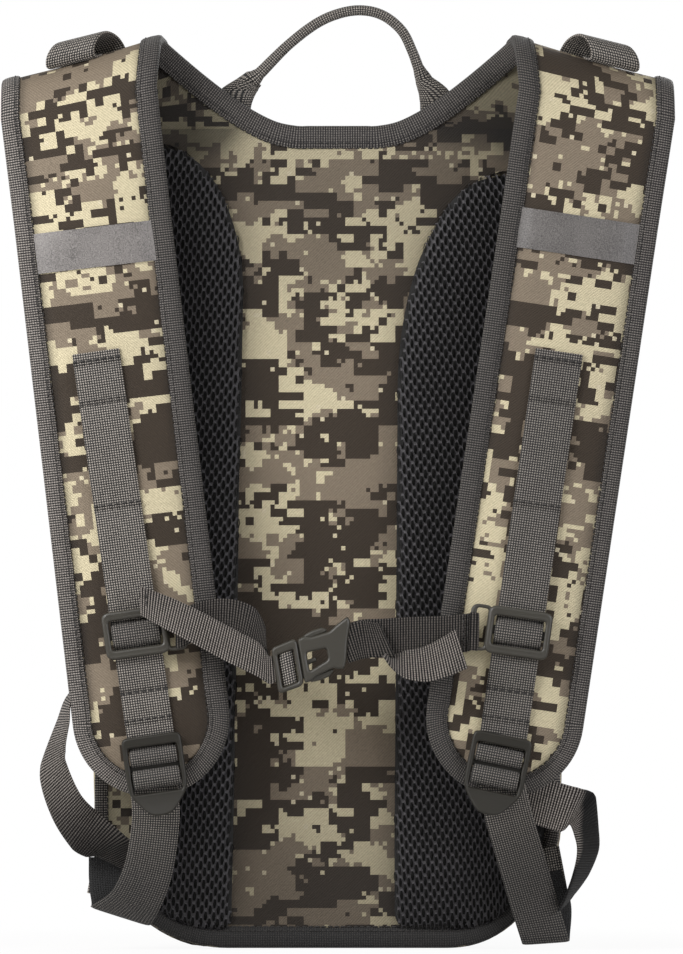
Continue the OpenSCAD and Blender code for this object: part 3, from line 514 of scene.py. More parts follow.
def swell_at(row, x):
    """Half thickness of the pad at x: flat under the binding and full in the middle."""
    v = abs(x - row_mid(row)) / row.half
    puff = (1 - v * v) ** 0.55 if v < 1 else 0.0
    return mix(PAD_EDGE, PAD_T, row.swell * puff) / 2


def shoulder_pad(s):
    pucker_in, pucker_wide, pucker_high, wave_high = 13, 5, 0.45, 0.5
    groove_in, groove_wide, groove_shade = 9.6, 2.4, 0.42
    rows = strap_rows(s)
    run = lengths_along([row_point(s, r, row_mid(r), 0) for r in rows])
    us = np.linspace(-1, 1, 41)
    rings, uv, painted_shade_levels = [], [], []
    for row, d in zip(rows, run):
        half = (row.outer - row.inner) / 2
        xs = [row_mid(row) + u * half for u in us]
        fronts = []
        for u, x in zip(us, xs):
            near_seam = bell(half - abs(u) * half, pucker_in, pucker_wide)
            pucker = noise.noise(Vector((d / 7, 9 * math.copysign(1, u), 3.7 + s))) * near_seam
            wave = noise.noise(Vector((d / 34, u * 1.3, 8.1 + s)))
            rise = row.swell * (pucker_high * pucker + wave_high * wave)
            fronts.append(row_point(s, row, x, swell_at(row, x) + rise))
        rings.append(fronts + [row_point(s, row, x, -swell_at(row, x)) for x in xs[::-1]])
        # Painted shade: a dark band in the groove beside each binding, and the lining side painted dark all
        # along for the shade under the yoke
        painted_shade_levels += [groove_shade * bell(half - abs(u) * half, groove_in, groove_wide) for u in us]
        painted_shade_levels += [LINING_SHADE] * len(us)
        uv.append([(v + STRAP_PRINT + STRAP_PRINT_STEP * s, -d) for v in us * half]
                  + [(SIGN[s] * x, ROOT_Z - HEM + PRINT_SHIFT + d) for x in xs[::-1] + xs[-1:]])
    pad = loft(SIDES[s] + "_strap_cover", rings, uv, CAMO, sharp=70)
    mark_painted_shade(pad, painted_shade_levels)
    fit(pad, "harness", "camo_cloth", SIDES[s] + "_shoulder_pad")


def folded_tape(name, marks, half, widths, seed):
    """Binding folded over an edge. A mark is a point of the edge, the way into the cloth and the normal."""
    wander, slack, clearance = 0.45, 0.15, 0.3
    run = lengths_along([m[0] for m in marks])
    rings, uv = [], []
    for (edge, into, normal), d, width in zip(marks, run, np.broadcast_to(widths, len(marks))):
        lip = width + wander * noise.noise(Vector((d / 15, seed, 0.5)))
        back_lip = width + wander * noise.noise(Vector((d / 15, seed, 7.5)))
        high = half + clearance + BIND_T + slack * noise.noise(Vector((d / 6, seed, 3.3)))
        low = high - BIND_T
        turned_over = [(1.2, 1.0), (-0.4, 0.8), (-1.0, 0.35), (-1.1, 0)]
        turned_over += [(p, -q) for p, q in turned_over[-2::-1]]
        outline = [(lip, high - 0.35), (lip - 0.4, high), (lip * 0.5, high + 0.25)]
        outline += [(p, high * q) for p, q in turned_over]
        outline += [(back_lip - 0.4, -high), (back_lip, 0.35 - high), (back_lip, -low),
                    (0.3, -low), (0, 0), (0.3, low), (lip, low)]
        rings.append([edge + into * p + normal * q for p, q in outline])
        uv.append([(d, v) for v in lengths_along(outline + outline[:1])])
    return loft(name, rings, uv, TAPE, sharp=60)


def edge_marks(path, face, closed=False):
    """Marks along an edge that runs in x and z, with its shown face towards +Y or -Y."""
    ahead = np.gradient(path, axis=0)
    if closed:
        ahead[0] = ahead[-1] = path[1] - path[-2]
    normal = np.array([0, float(face), 0])
    return [(p, unit([-face * t[2], 0, face * t[0]]), normal) for p, t in zip(path, ahead)]


def seam(body, marks, insets, lift):
    """A line of stitches along a binding, inset from the edge and lifted off the middle of the cloth."""
    insets = np.broadcast_to(insets, len(marks))
    stitch(body, [edge + into * inset + normal * lift for (edge, into, normal), inset in zip(marks, insets)])


def strap_marks(s):
    """Marks down the outer edge, round the end and up the inner edge, and the tape's width at each."""
    down, up = [], []
    for row in strap_rows(s)[2:-len(END_STEPS)]:
        for marks, x, d in ((down, row.outer, -1), (up, row.inner, 1)):
            into = unit([SIGN[s] * d, 0, -d * row.slope])
            marks.append((row_point(s, row, x, 0), into, np.array([0, row.ny, row.nz], float)))
    up = up[len(ROOT_STEPS) + PEAK_STEP:]
    for a in END_STEPS:
        row = end_row(s, a)
        c, d = turn(a)
        for marks, x, side in ((down, row.outer, -1), (up, row.inner, 1)):
            marks.append((row_point(s, row, x, 0), unit([SIGN[s] * side * c, 0, d]), np.array([0, -1.0, 0])))
    bend = len(END_STEPS)
    widths = ([OUTER_TAPE] * (len(down) - bend) + list(np.linspace(OUTER_TAPE, INNER_TAPE, 2 * bend))
              + [INNER_TAPE] * (len(up) - bend))
    return down + up[::-1], np.array(widths)


def across_strap(s, x, z):
    """From 0 at the inner edge of the strap to 1 at the outer one."""
    row = run_row(s, z)
    return clamp01((x - row.inner) / (row.outer - row.inner))


def strap_binding(s):
    # Painted shade: each binding's inner edge darker, and the right strap's outer edge darker than the left's,
    # which faces the light; below zero counts as none
    inner_shade, outer_shade = 0.46, (-0.32, 0.32)[s]
    marks, widths = strap_marks(s)
    tape = folded_tape(SIDES[s] + "_strap_tape", marks, PAD_EDGE / 2, widths, 4.0 + s)
    shade(tape, lambda x, y, z: mix(inner_shade, outer_shade, across_strap(s, SIGN[s] * x, z)))
    fit(tape, "harness", "binding_tape", SIDES[s] + "_strap_binding")
    seam("harness", marks, widths - 1.9, PAD_EDGE / 2 + BIND_T + 0.4)
    seam("harness", marks, widths + 0.3, PAD_EDGE / 2 + 0.4)


def reflective_tape(s):
    height, reach, centre = 21, HALF_W - 8.5, (370, 376)[s]
    rows, uv = [], []
    for z in np.linspace(centre - height / 2, centre + height / 2, 9):
        row = run_row(s, z)
        xs = np.linspace(row_mid(row) - reach, row_mid(row) + reach, 25)
        rows.append([row_point(s, row, x, swell_at(row, x) + 1.1) for x in xs]
                    + [row_point(s, row, x, swell_at(row, x) + 0.1) for x in xs[::-1]])
        uv.append(flat_uv(xs, z))
    tape = loft(SIDES[s] + "_reflective_strip", rows, uv, REFLECTIVE)
    # Painted shade: the right strip darker than the left, as the light falls from the left
    shade(tape, (0.04, 0.28)[s])
    fit(tape, "harness", "reflective_tape", SIDES[s] + "_reflective_tape")


# Back panel, its padding and bindings

def drawn_in(x, z):
    """The full pack sags to one side, which draws its lower right edge in."""
    return x - SAG * ease((x - SAG_X) / SAG_SPAN_X) * ease((SAG_Z - z) / SAG_SPAN_Z)


def panel_half(z):
    """Half width of the back panel at height z."""
    if z < CORNER_R:
        return BODY_W / 2 - CORNER_R + math.sqrt(max(0, CORNER_R ** 2 - (CORNER_R - z) ** 2))
    return mix(BODY_W / 2, YOKE_W / 2, clamp01((z - WING_Z) / (PANEL_H - MARGIN - WING_Z)))


# Mesh pads: inner edge and its drift, top, size of the rounded upper corner, and inset from the panel's edge
MESH_IN, MESH_DRIFT, MESH_TOP = (48, 33), (8, -3), (426, 411)
MESH_TURN = ((50, 80), (57, 115))
MESH_LOW, MESH_EDGE, MESH_CROWN, MESH_INSET = 9, 2.0, 9, (23, 8)


def mesh_inner(s, z):
    across, deep = MESH_TURN[s]
    h = clamp01((z - MESH_TOP[s] + deep) / deep)
    return MESH_IN[s] + MESH_DRIFT[s] * (1 - z / PANEL_H) + across * (1 - math.sqrt(1 - h * h))


def mesh_outer(s, z):
    flare, corner_inset = 0.1, 8
    edge = BODY_W / 2 - MESH_INSET[s] + flare * max(0, z - WING_Z)
    if z < CORNER_R:
        r = CORNER_R - corner_inset
        edge = min(edge, BODY_W / 2 - CORNER_R + math.sqrt(max(0, r * r - (CORNER_R - z) ** 2)))
    return edge


def mesh_depth(s, x, z):
    """Depth of the padding's face at x, z."""
    xi, xo = mesh_inner(s, z), mesh_outer(s, z)
    f = clamp01((x - xi) / max(1, xo - xi))
    low_ramp, top_ramp, roundness = 34, 46, 1.1
    ends = clamp01((z - MESH_LOW) / low_ramp) * clamp01((MESH_TOP[s] - z) / top_ramp)
    crown = MESH_CROWN * math.sqrt(ends) * math.sqrt(4 * f * (1 - f)) ** roundness
    return PANEL_Y - MESH_EDGE * min(1, 4 * ends) - crown


def panel_depth(x, z):
    """The cloth between the pads is drawn back a little and ripples."""
    padding, flat_edge = 0.6, 25
    wave = noise.noise(Vector((x / 60, z / 45, 1.7))) + 0.5 * noise.noise(Vector((x / 23, z / 31, 6.1)))
    inside = clamp01((panel_half(z) - abs(x)) / flat_edge) * clamp01(z / flat_edge)
    return PANEL_Y - padding + wave * inside


def panel_shade(x, y, z):
    """Painted shade on the panel: darker low down, under the yoke, beside the pads and where the straps stand
    over it.
    """
    s = LEFT if x < 0 else RIGHT
    out = abs(x)
    low, high, most = 0.5, 0.33, 0.85
    height = low * ease((160 - z) / 150) + high * ease((z - 300) / 90)
    yoke = (LINING_SHADE - high) * ease((z - 434 + 0.3 * (out - 40)) / 22 + 0.5) * ease((out - 20) / 35)
    pad = 0.25 * ease(1 - (mesh_inner(s, z) - out) / 15)
    strap_at, strap_shade = ((74, 427), (60, 418))[s], (0.55, 0.2)[s]
    strap = strap_shade * ease(1.35 - math.hypot((out - strap_at[0]) / 24, (z - strap_at[1]) / 22))
    return min(most, height + yoke + (1 - height) * max(pad, strap))


def back_panel():
    zs = np.concatenate([np.linspace(0.6, 20, 9)[:-1], np.linspace(20, PANEL_H, 90)])
    us = np.linspace(-1, 1, 81)
    rows, uv = [], []
    for z in zs:
        xs = us * (panel_half(z) - 1)
        rows.append([(drawn_in(x, z), panel_depth(x, z), z) for x in xs]
                    + [(drawn_in(x, z), BAG_Y, z) for x in xs[::-1]])
        uv.append([(x, z + PRINT_SHIFT) for x in xs] + [(x + BACK_PRINT, z) for x in xs[::-1]] + [(xs[0], z)])
    panel = loft("back_panel_cloth", rows, uv, CAMO, sharp=60)
    shade(panel, panel_shade)
    fit(panel, "pack", "camo_cloth", "back_panel")


def new_tree(name, sizes):
    """Node tree that takes a mesh, named sizes and a material, and its input node."""
    tree = bpy.data.node_groups.new(name, "GeometryNodeTree")
    kinds = {"Geometry": "Geometry", **{size: "Float" for size in sizes}, "Material": "Material"}
    for label, kind in kinds.items():
        tree.interface.new_socket(label, in_out="INPUT", socket_type="NodeSocket" + kind)
    tree.interface.new_socket("Geometry", in_out="OUTPUT", socket_type="NodeSocketGeometry")
    return tree, tree.nodes.new("NodeGroupInput").outputs


def end_tree(tree, shape, material):
    """Makes the shape one smooth mesh of the material."""
    solid = add(tree, "GeometryNodeRealizeInstances", None, {"Geometry": shape})
    smooth = add(tree, "GeometryNodeSetShadeSmooth", None, {"Geometry": solid})
    painted = add(tree, "GeometryNodeSetMaterial", None, {"Geometry": smooth, "Material": material})
    add(tree, "NodeGroupOutput", None, {"Geometry": painted})
    return tree


def net_tree():
    """Net from hexagonal faces: each face is drawn in, sunk, drawn in again and opened."""
    tree, given = new_tree("spacer_net", ("Strand", "Hole", "Sink"))
    shape, top, sink = given["Geometry"], True, 0.0
    for scale in ("Strand", "Hole"):
        pushed = add(tree, "GeometryNodeExtrudeMesh", {"mode": "FACES"},
                     {"Mesh": shape, "Selection": top, "Offset Scale": sink, "Individual": True})
        top, sink = pushed.outputs["Top"], given["Sink"]
        shape = add(tree, "GeometryNodeScaleElements", {"domain": "FACE"},
                    {"Geometry": pushed.outputs["Mesh"], "Selection": top, "Scale": given[scale]})
    cut = add(tree, "GeometryNodeDeleteGeometry", {"domain": "FACE"}, {"Geometry": shape, "Selection": top})
    return end_tree(tree, cut, given["Material"])


def row_tree():
    """Short rods along the edges of a mesh: stitches or zip teeth."""
    tree, given = new_tree("repeats_along_lines", ("Pitch", "Length", "Radius"))
    lines = add(tree, "GeometryNodeMeshToCurve", None, {"Mesh": given["Geometry"]})
    spots = add(tree, "GeometryNodeCurveToPoints", {"mode": "LENGTH"},
                {"Curve": lines, "Length": given["Pitch"]})
    rod = add(tree, "GeometryNodeMeshCylinder", {"fill_type": "NGON"},
              {"Vertices": 6, "Radius": given["Radius"], "Depth": given["Length"]})
    placed = add(tree, "GeometryNodeInstanceOnPoints", None,
                 {"Points": spots.outputs["Points"], "Instance": rod.outputs["Mesh"],
                  "Rotation": spots.outputs["Rotation"]})
    return end_tree(tree, placed, given["Material"])


def made_by_nodes(obj, tree, values):
    """The object's mesh with the node tree applied, as a new plain mesh object of the same name."""
    modifier = obj.modifiers.new("nodes", "NODES")
    modifier.node_group = tree
    for item in tree.interface.items_tree:
        if item.in_out == "INPUT" and item.name in values:
            modifier[item.identifier] = values[item.name]
    bpy.context.view_layer.update()
    graph = bpy.context.evaluated_depsgraph_get()
    mesh = bpy.data.meshes.new_from_object(obj.evaluated_get(graph))
    name = obj.name
    bpy.data.objects.remove(obj)
    made = bpy.data.objects.new(name, mesh)
    mesh.name = name
    bpy.context.collection.objects.link(made)
    return made


NET_TREE, ROW_TREE = net_tree(), row_tree()


def pad_core(s):
    zs = np.concatenate([np.linspace(MESH_LOW + 0.5, 60, 16)[:-1], np.linspace(60, MESH_TOP[s] - 0.5, 70)])
    rows, uv = [], []
    for z in zs:
        xs = np.linspace(mesh_inner(s, z), max(mesh_outer(s, z), mesh_inner(s, z) + 1), 22)
        rows.append([(drawn_in(SIGN[s] * x, z), mesh_depth(s, x, z) + 1.3, z) for x in xs]
                    + [(drawn_in(SIGN[s] * x, z), PANEL_Y + 0.5, z) for x in xs[::-1]])
        uv.append(flat_uv(xs, z))
    core = loft(SIDES[s] + "_pad_core", rows, uv, FOAM)
    fit(core, "pack", "spacer_mesh", SIDES[s] + "_mesh_pad")


def spacer_net(s):
    """Net over the core, with staggered openings 4.3 mm apart across and 6.6 mm up, slightly turned."""
    across, up, shift, fineness, slant, overlap = 2.15, 6.6, 60, 20, 4, 0.6
    columns, lines = range(-40, 90), range(-12, 80)
    wide, narrow = across * 2 / 3, across / 3
    cell = ((wide, 0), (narrow, up / 2), (-narrow, up / 2), (-wide, 0), (-narrow, -up / 2), (narrow, -up / 2))
    c, d = turn(slant)
    index, points, faces = {}, [], []
    for i in columns:
        for j in lines:
            cx, cz = i * across, j * up + (i % 2) * up / 2
            corners = [(x * c - z * d + shift, x * d + z * c)
                       for x, z in ((cx + dx, cz + dz) for dx, dz in cell)]
            mx, mz = (sum(corner[k] for corner in corners) / 6 for k in (0, 1))
            if not MESH_LOW + 1 < mz < MESH_TOP[s] - 2:
                continue
            if not mesh_inner(s, mz) + 1.0 < mx < mesh_outer(s, mz) - 1.0:
                continue
            face = []
            for x, z in corners:
                x = max(mesh_inner(s, z) - overlap, min(mesh_outer(s, z) + overlap, x))
                z = max(MESH_LOW, min(MESH_TOP[s], z))
                key = (round(x * fineness), round(z * fineness))
                if key not in index:
                    index[key] = len(points)
                    points.append((drawn_in(SIGN[s] * x, z), mesh_depth(s, x, z), z))
                face.append(index[key])
            faces.append(face if s == LEFT else face[::-1])
    sheet = build(SIDES[s] + "_spacer_net", points, faces, [(0, 0)] * (6 * len(faces)), NET)
    net = made_by_nodes(sheet, NET_TREE, {"Strand": 0.84, "Hole": 0.85, "Sink": -0.9 * MM, "Material": NET})
    fit(net, "pack", "spacer_mesh")


def panel_edge():
    inset, low, slim = 0.9, BODY_W / 2 - CORNER_R, 5.5
    edge = [(panel_half(z) - inset, z) for z in np.linspace(WING_Z, CORNER_R, 60)]
    for a in np.linspace(0, 90, 31)[1:]:
        c, d = turn(a)
        edge.append((low + (CORNER_R - inset) * c, CORNER_R - (CORNER_R - inset) * d))
    edge += [(x, inset) for x in np.linspace(low, 0, 20)[1:]]
    edge += [(-x, z) for x, z in edge[-2::-1]]
    path = np.array([(drawn_in(x, z), (PANEL_Y + BAG_Y) / 2, z) for x, z in edge])
    marks = edge_marks(path, -1)
    widths = np.array([mix(BIND_W, slim, ease((p[2] - 25) / 45)) for p in path])
    tape = folded_tape("panel_edge_tape", marks, 2.2, widths, 2.0)
    # Painted shade: the tape darker towards the bottom
    shade(tape, lambda x, y, z: 0.68 * ease((90 - z) / 80))
    fit(tape, "pack", "binding_tape", "panel_binding")
    seam("pack", marks, widths - 2, 3.6)
    seam("pack", marks, widths + 0.3, 3.2)


def neck_edge():
    """One tape along the neckline, cut in three because the straps carry its ends."""
    rise = [row_point(RIGHT, r, r.inner, 0) for r in strap_rows(RIGHT)[2:len(ROOT_STEPS) + PEAK_STEP + 5]]
    right_half = [np.array([x, ROOT_Y, PANEL_H + 0.6]) for x in (0, 8, 16, 21)] + rise[::2]
    path, _ = curve_through([p * (-1, 1, 1) for p in right_half[:0:-1]] + right_half, 2.0)
    marks = edge_marks(path, -1)
    first = [m[0][0] > -NECK_SPLIT for m in marks].index(True)
    last = len(marks) - first
    for name, part, body, node in (("left_neck_tape", marks[:first + 1], "harness", "left_strap_binding"),
                                   ("neck_edge_tape", marks[first:last], "pack", "neck_binding"),
                                   ("right_neck_tape", marks[last - 1:], "harness", "right_strap_binding")):
        tape = folded_tape(name, part, 2.4, BIND_W + 0.5, 3.0)
        # Painted shade over the neckline's tape
        shade(tape, 0.4)
        fit(tape, body, "binding_tape", node)
        seam(body, part, BIND_W - 2, 3.6)
        seam(body, part, BIND_W + 0.8, 3.0)


# Webbing and moulded fittings

def turned(at, angle, x, y, z):
    """A local point turned by an angle about Y and moved to its place."""
    c, d = math.cos(angle), math.sin(angle)
    return at[0] + x * c + z * d, at[1] + y, at[2] - x * d + z * c


def on_lock(s, x, y, z):
    angle = SIGN[s] * math.atan(web_lean(s)) + LOCK_TURN * s
    return turned((SIGN[s] * LOCK_X[s], LOCK_Y, LOCK_Z), angle, x, y, z)


def on_slider(s, x, y, z):
    angle = SIGN[s] * math.atan(web_lean(s))
    return turned((SIGN[s] * web_x(s, SLIDER_Z), LIFT_Y, SLIDER_Z), angle, x, y, z)


def on_buckle(x, y, z):
    return turned(BUCKLE_AT, -BUCKLE_TILT, x + BUCKLE_SKEW * z, y, z)


def moved(place, depth):
    """The same place with every point moved along y."""
    return lambda x, y, z: place(x, y + depth, z)


def rounded(points, radius):
    """Closed outline with its corners rounded. radius is one number, or one for each corner."""
    out, n, side_share, arc_points = [], len(points), 0.48, 7
    radii = np.broadcast_to(radius, n)
    for i, p in enumerate(np.asarray(points, float)):
        a, b = np.asarray(points[i - 1], float), np.asarray(points[(i + 1) % n], float)
        start, end = (p + unit(q - p) * min(radii[i], np.linalg.norm(q - p) * side_share) for q in (a, b))
        out += [mix(mix(start, p, f), mix(p, end, f), f) for f in np.linspace(0, 1, arc_points)]
    return out


def rectangle(xa, xb, z0, z1):
    x0, x1 = min(xa, xb), max(xa, xb)
    return [(x0, z0), (x1, z0), (x1, z1), (x0, z1)]


def plate(name, outline, holes, thick, bevel, place, bend=None, material=ACETAL):
    """Moulded plate: an outline with holes, given thickness and rounded edges. place maps local x, y, z."""
    curve = bpy.data.curves.new(name, "CURVE")
    curve.dimensions, curve.fill_mode = "2D", "BOTH"
    curve.extrude, curve.bevel_depth, curve.bevel_resolution = thick / 2 - bevel, bevel, 3
    curve.offset = -bevel
    for ring in [outline] + list(holes):
        spline = curve.splines.new("POLY")
        spline.points.add(len(ring) - 1)
        spline.points.foreach_set("co", [c for x, z in ring for c in (x, z, 0, 1)])
        spline.use_cyclic_u = True
    holder = bpy.data.objects.new(name + "_outline", curve)
    bpy.context.collection.objects.link(holder)
    bpy.context.view_layer.update()
    mesh = bpy.data.meshes.new_from_object(holder.evaluated_get(bpy.context.evaluated_depsgraph_get()))
    points = []
    for v in mesh.vertices:
        x, z, y = v.co
        points.append(place(x, -y - (bend(x, z) if bend else 0), z))
    faces = [list(p.vertices) for p in mesh.polygons]
    bpy.data.objects.remove(holder)
    bpy.data.meshes.remove(mesh)
    return build(name, points, faces, [(0, 0)] * sum(len(f) for f in faces), material, sharp=35)


def hump(name, place, half_x, z0, z1, y_back, rise):
    """Webbing that comes up over a bar: a rounded ridge along x. half_x is its two ends."""
    x0, x1 = half_x
    rows, uv = [], []
    turns = np.linspace(0, np.pi, 15)
    arc = (z1 - z0) * 1.4
    for x in np.concatenate([[x0, x0 + 0.3], np.linspace(x0 + 1, x1 - 1, 11), [x1 - 0.3, x1]]):
        k = 0.86 + 0.14 * math.sqrt(clamp01(min(x - x0, x1 - x)))
        ring = [place(x, y_back - k * rise * math.sin(t) ** 0.75, mix(z0, z1, 0.5 - 0.5 * k * math.cos(t)))
                for t in turns]
        rows.append(ring + [place(x, y_back + 1.0, z1), place(x, y_back + 1.0, z0)])
        uv.append([(arc * t / np.pi, x) for t in turns] + [(arc + more, x) for more in (2, 4, 6)])
    return loft(name, rows, uv, WEBBING, sharp=60)


def tacks(s, z):
    """A doubled line of stitches across the strap webbing."""
    depth, apart = -76.4, 0.8
    side = unit([1, 0, -SIGN[s] * web_lean(s)]) * (WEB_W - 2) / 2
    for k in (-apart, apart):
        mid = np.array([SIGN[s] * web_x(s, z + k), depth, z + k])
        stitch("harness", [mid - side, mid + side])


def strap_webbing(s):
    # Height and depth down the strap: the web is sewn flat at the tacks and lifts between them
    profile = ((315, -75.0), (308, -75.3), (298, -75.8), (289, -75.2), (280, -75.9), (262, -76.1),
               (245, -75.9), (234, -75.3), (222, -76.3), (208, -77.0), (190, -77.3), (167, -77.3),
               (148, -77.0), (137, -75.4), (129, -75.9), (121, -75.4), (116, -75.7), (109, -75.9),
               (104, -76.4))
    path = [(SIGN[s] * web_x(s, z), y, z) for z, y in profile]
    wide = (1, 0, -SIGN[s] * web_lean(s))
    web = band(SIDES[s] + "_strap_band", path, [wide] * len(path), WEB_W, WEB_T, WEBBING)
    # Painted shade: the right web darker than the left, as the light falls from the left
    shade(web, 0.22 * s)
    fit(web, "harness", "webbing", SIDES[s] + "_strap_webbing")
    for z in (310, 289, 234, 137, 121):
        tacks(s, z)


def ladder_lock(s):
    body, place = SIDES[s] + "_lock", partial(on_lock, s)
    half, slot, web_half = 15.9, 13.0, 12.4
    right = [(half - 1.5, 1.2), (half, -1.2), (half, -25), (half - 1.5, -30.5), (8, -38.5), (4, -41.5)]
    outline = [(-half + 1.5, 1.2)] + right + [(-x, z) for x, z in right[:0:-1]]
    outline = rounded(outline, [3, 3, 2, 3, 3, 4, 4, 4, 4, 3, 3, 2])
    window = rounded(rectangle(-slot, slot, -29, -4.5), 1.6)
    bar = rounded(rectangle(-slot - 1, slot + 1, -17.5, -14), 1)

    def curl(x, z):
        """The plate bows across, and its tongue curls forward."""
        tongue_z, tongue_curl, bow = -24, 0.012, 0.5
        return tongue_curl * max(0, tongue_z - z) ** 2 + bow * (1 - (x / half) ** 2)

    plates = (plate(body + "_frame", outline, [window], 5.0, 1.2, place, curl, SHADED_ACETAL),
              plate(body + "_bar", bar, [], 2.4, 0.8, moved(place, 3.0), None, SHADED_ACETAL))
    for part in plates:
        fit(part, body, "hardware_plastic", SIDES[s] + "_ladder_lock")
    for name, z0, z1, rise in (("_loop", -14.6, -5.6, 4.0), ("_fold", -26.6, -16.4, 4.4)):
        web = hump(body + name, place, (-web_half, web_half), z0, z1, 0.6, rise)
        # Painted shade on the webbing wrapped in the lock
        shade(web, 0.35)
        fit(web, body, "webbing", SIDES[s] + "_lock_wrap")


def sternum_slider(s):
    name, place, inward = SIDES[s] + "_slider", partial(on_slider, s), -SIGN[s]
    half, web_half = 17, 12.6
    in_front = moved(place, SLIDER_FACE)
    outline = rounded(rectangle(-half, half, -12.6, 12.6), 4.5)
    window = rounded(rectangle(-13.6, 13.6, -7.8, 7.8), 1.8)
    ring = rounded(rectangle(inward * 14.5, inward * 26.5, -12.2, 12.2), 4.5)
    ring_hole = rounded(rectangle(inward * 17.3, inward * 23.3, -10.3, 10.3), 1.5)
    bar = rounded(rectangle(-16.5, 16.5, -2.4, 2.4), 0.8)

    def bow(x, z):
        """The plate bows across."""
        return 0.6 * (1 - (x / half) ** 2)

    plates = (plate(name + "_frame", outline, [window], 4.2, 1.4, in_front, bow),
              plate(name + "_ring", ring, [ring_hole], 3.4, 1.2, in_front),
              plate(name + "_bar", bar, [], 1.6, 0.6, moved(place, 2.0)))
    for part in plates:
        fit(part, "chest_strap", "hardware_plastic", SIDES[s] + "_sternum_slider")
    fold = hump(name + "_fold", place, (-web_half, web_half), -6.6, 6.2, -1.6, 3.4)
    # Painted shade on the webbing folded in the slider
    shade(fold, 0.3)
    fit(fold, "chest_strap", "webbing")


def buckle():
    frame_outline = [(-20, -12), (-7, -12.4), (-5.6, -10), (-5.6, 10), (-7, 12.4), (-20, 12)]
    prong = [(-7, -9), (-3.6, -9), (-3.6, -3.2), (3, -3.0), (3, -0.6), (-3.6, -0.4), (-3.6, 9), (-7, 9)]
    shell = [(-5.2, -11.4), (-1.5, -11.9), (1.5, -10.2), (11.5, -9.4), (13.5, -10.8), (17, -11.8),
             (18.8, -8.5), (21.4, 2), (24.4, 10), (23.4, 13.4), (17, 11.4), (12.5, 9.4), (1.5, 10.2),
             (-1.5, 11.9), (-5.2, 11.4)]
    arm = [(-4, 9.0), (10.4, 9.2), (11.4, 10.8), (8.6, 12.8), (3, 13.0), (-1, 12.4), (-4, 11)]
    web_slot = rounded(rectangle(-17.2, -8.4, -9.6, 7.4), 1)
    window = rounded([(-1.6, -6.4), (9.2, -4.2), (9.2, 1.6), (-1.6, 3.2)], 1.4)
    # Name, outline, holes, thickness, rounding of the edges, body and solid
    plates = [("buckle_male_frame", rounded(frame_outline, [2.5, 2, 1, 1, 2, 2.5]), [web_slot], 8.0, 1.3,
               "chest_strap", "buckle_male"),
              ("buckle_male_prong", rounded(prong, 0.6), [], 2.4, 0.8, "chest_strap", "buckle_male"),
              ("buckle_female_shell", rounded(shell, 1.2), [window], 9.4, 1.5,
               "chest_strap", "buckle_female")]
    for name, side in (("upper", 1), ("lower", -1)):
        outline = rounded([(x, side * z) for x, z in arm][::side], 1.0)
        plates.append(("latch_arm_%s_spring" % name, outline, [], 5.0, 1.2,
                       "latch_" + name, "latch_arm_" + name))
    for name, outline, holes, thick, bevel, body, node in plates:
        fit(plate(name, outline, holes, thick, bevel, on_buckle), body, "hardware_plastic", node)


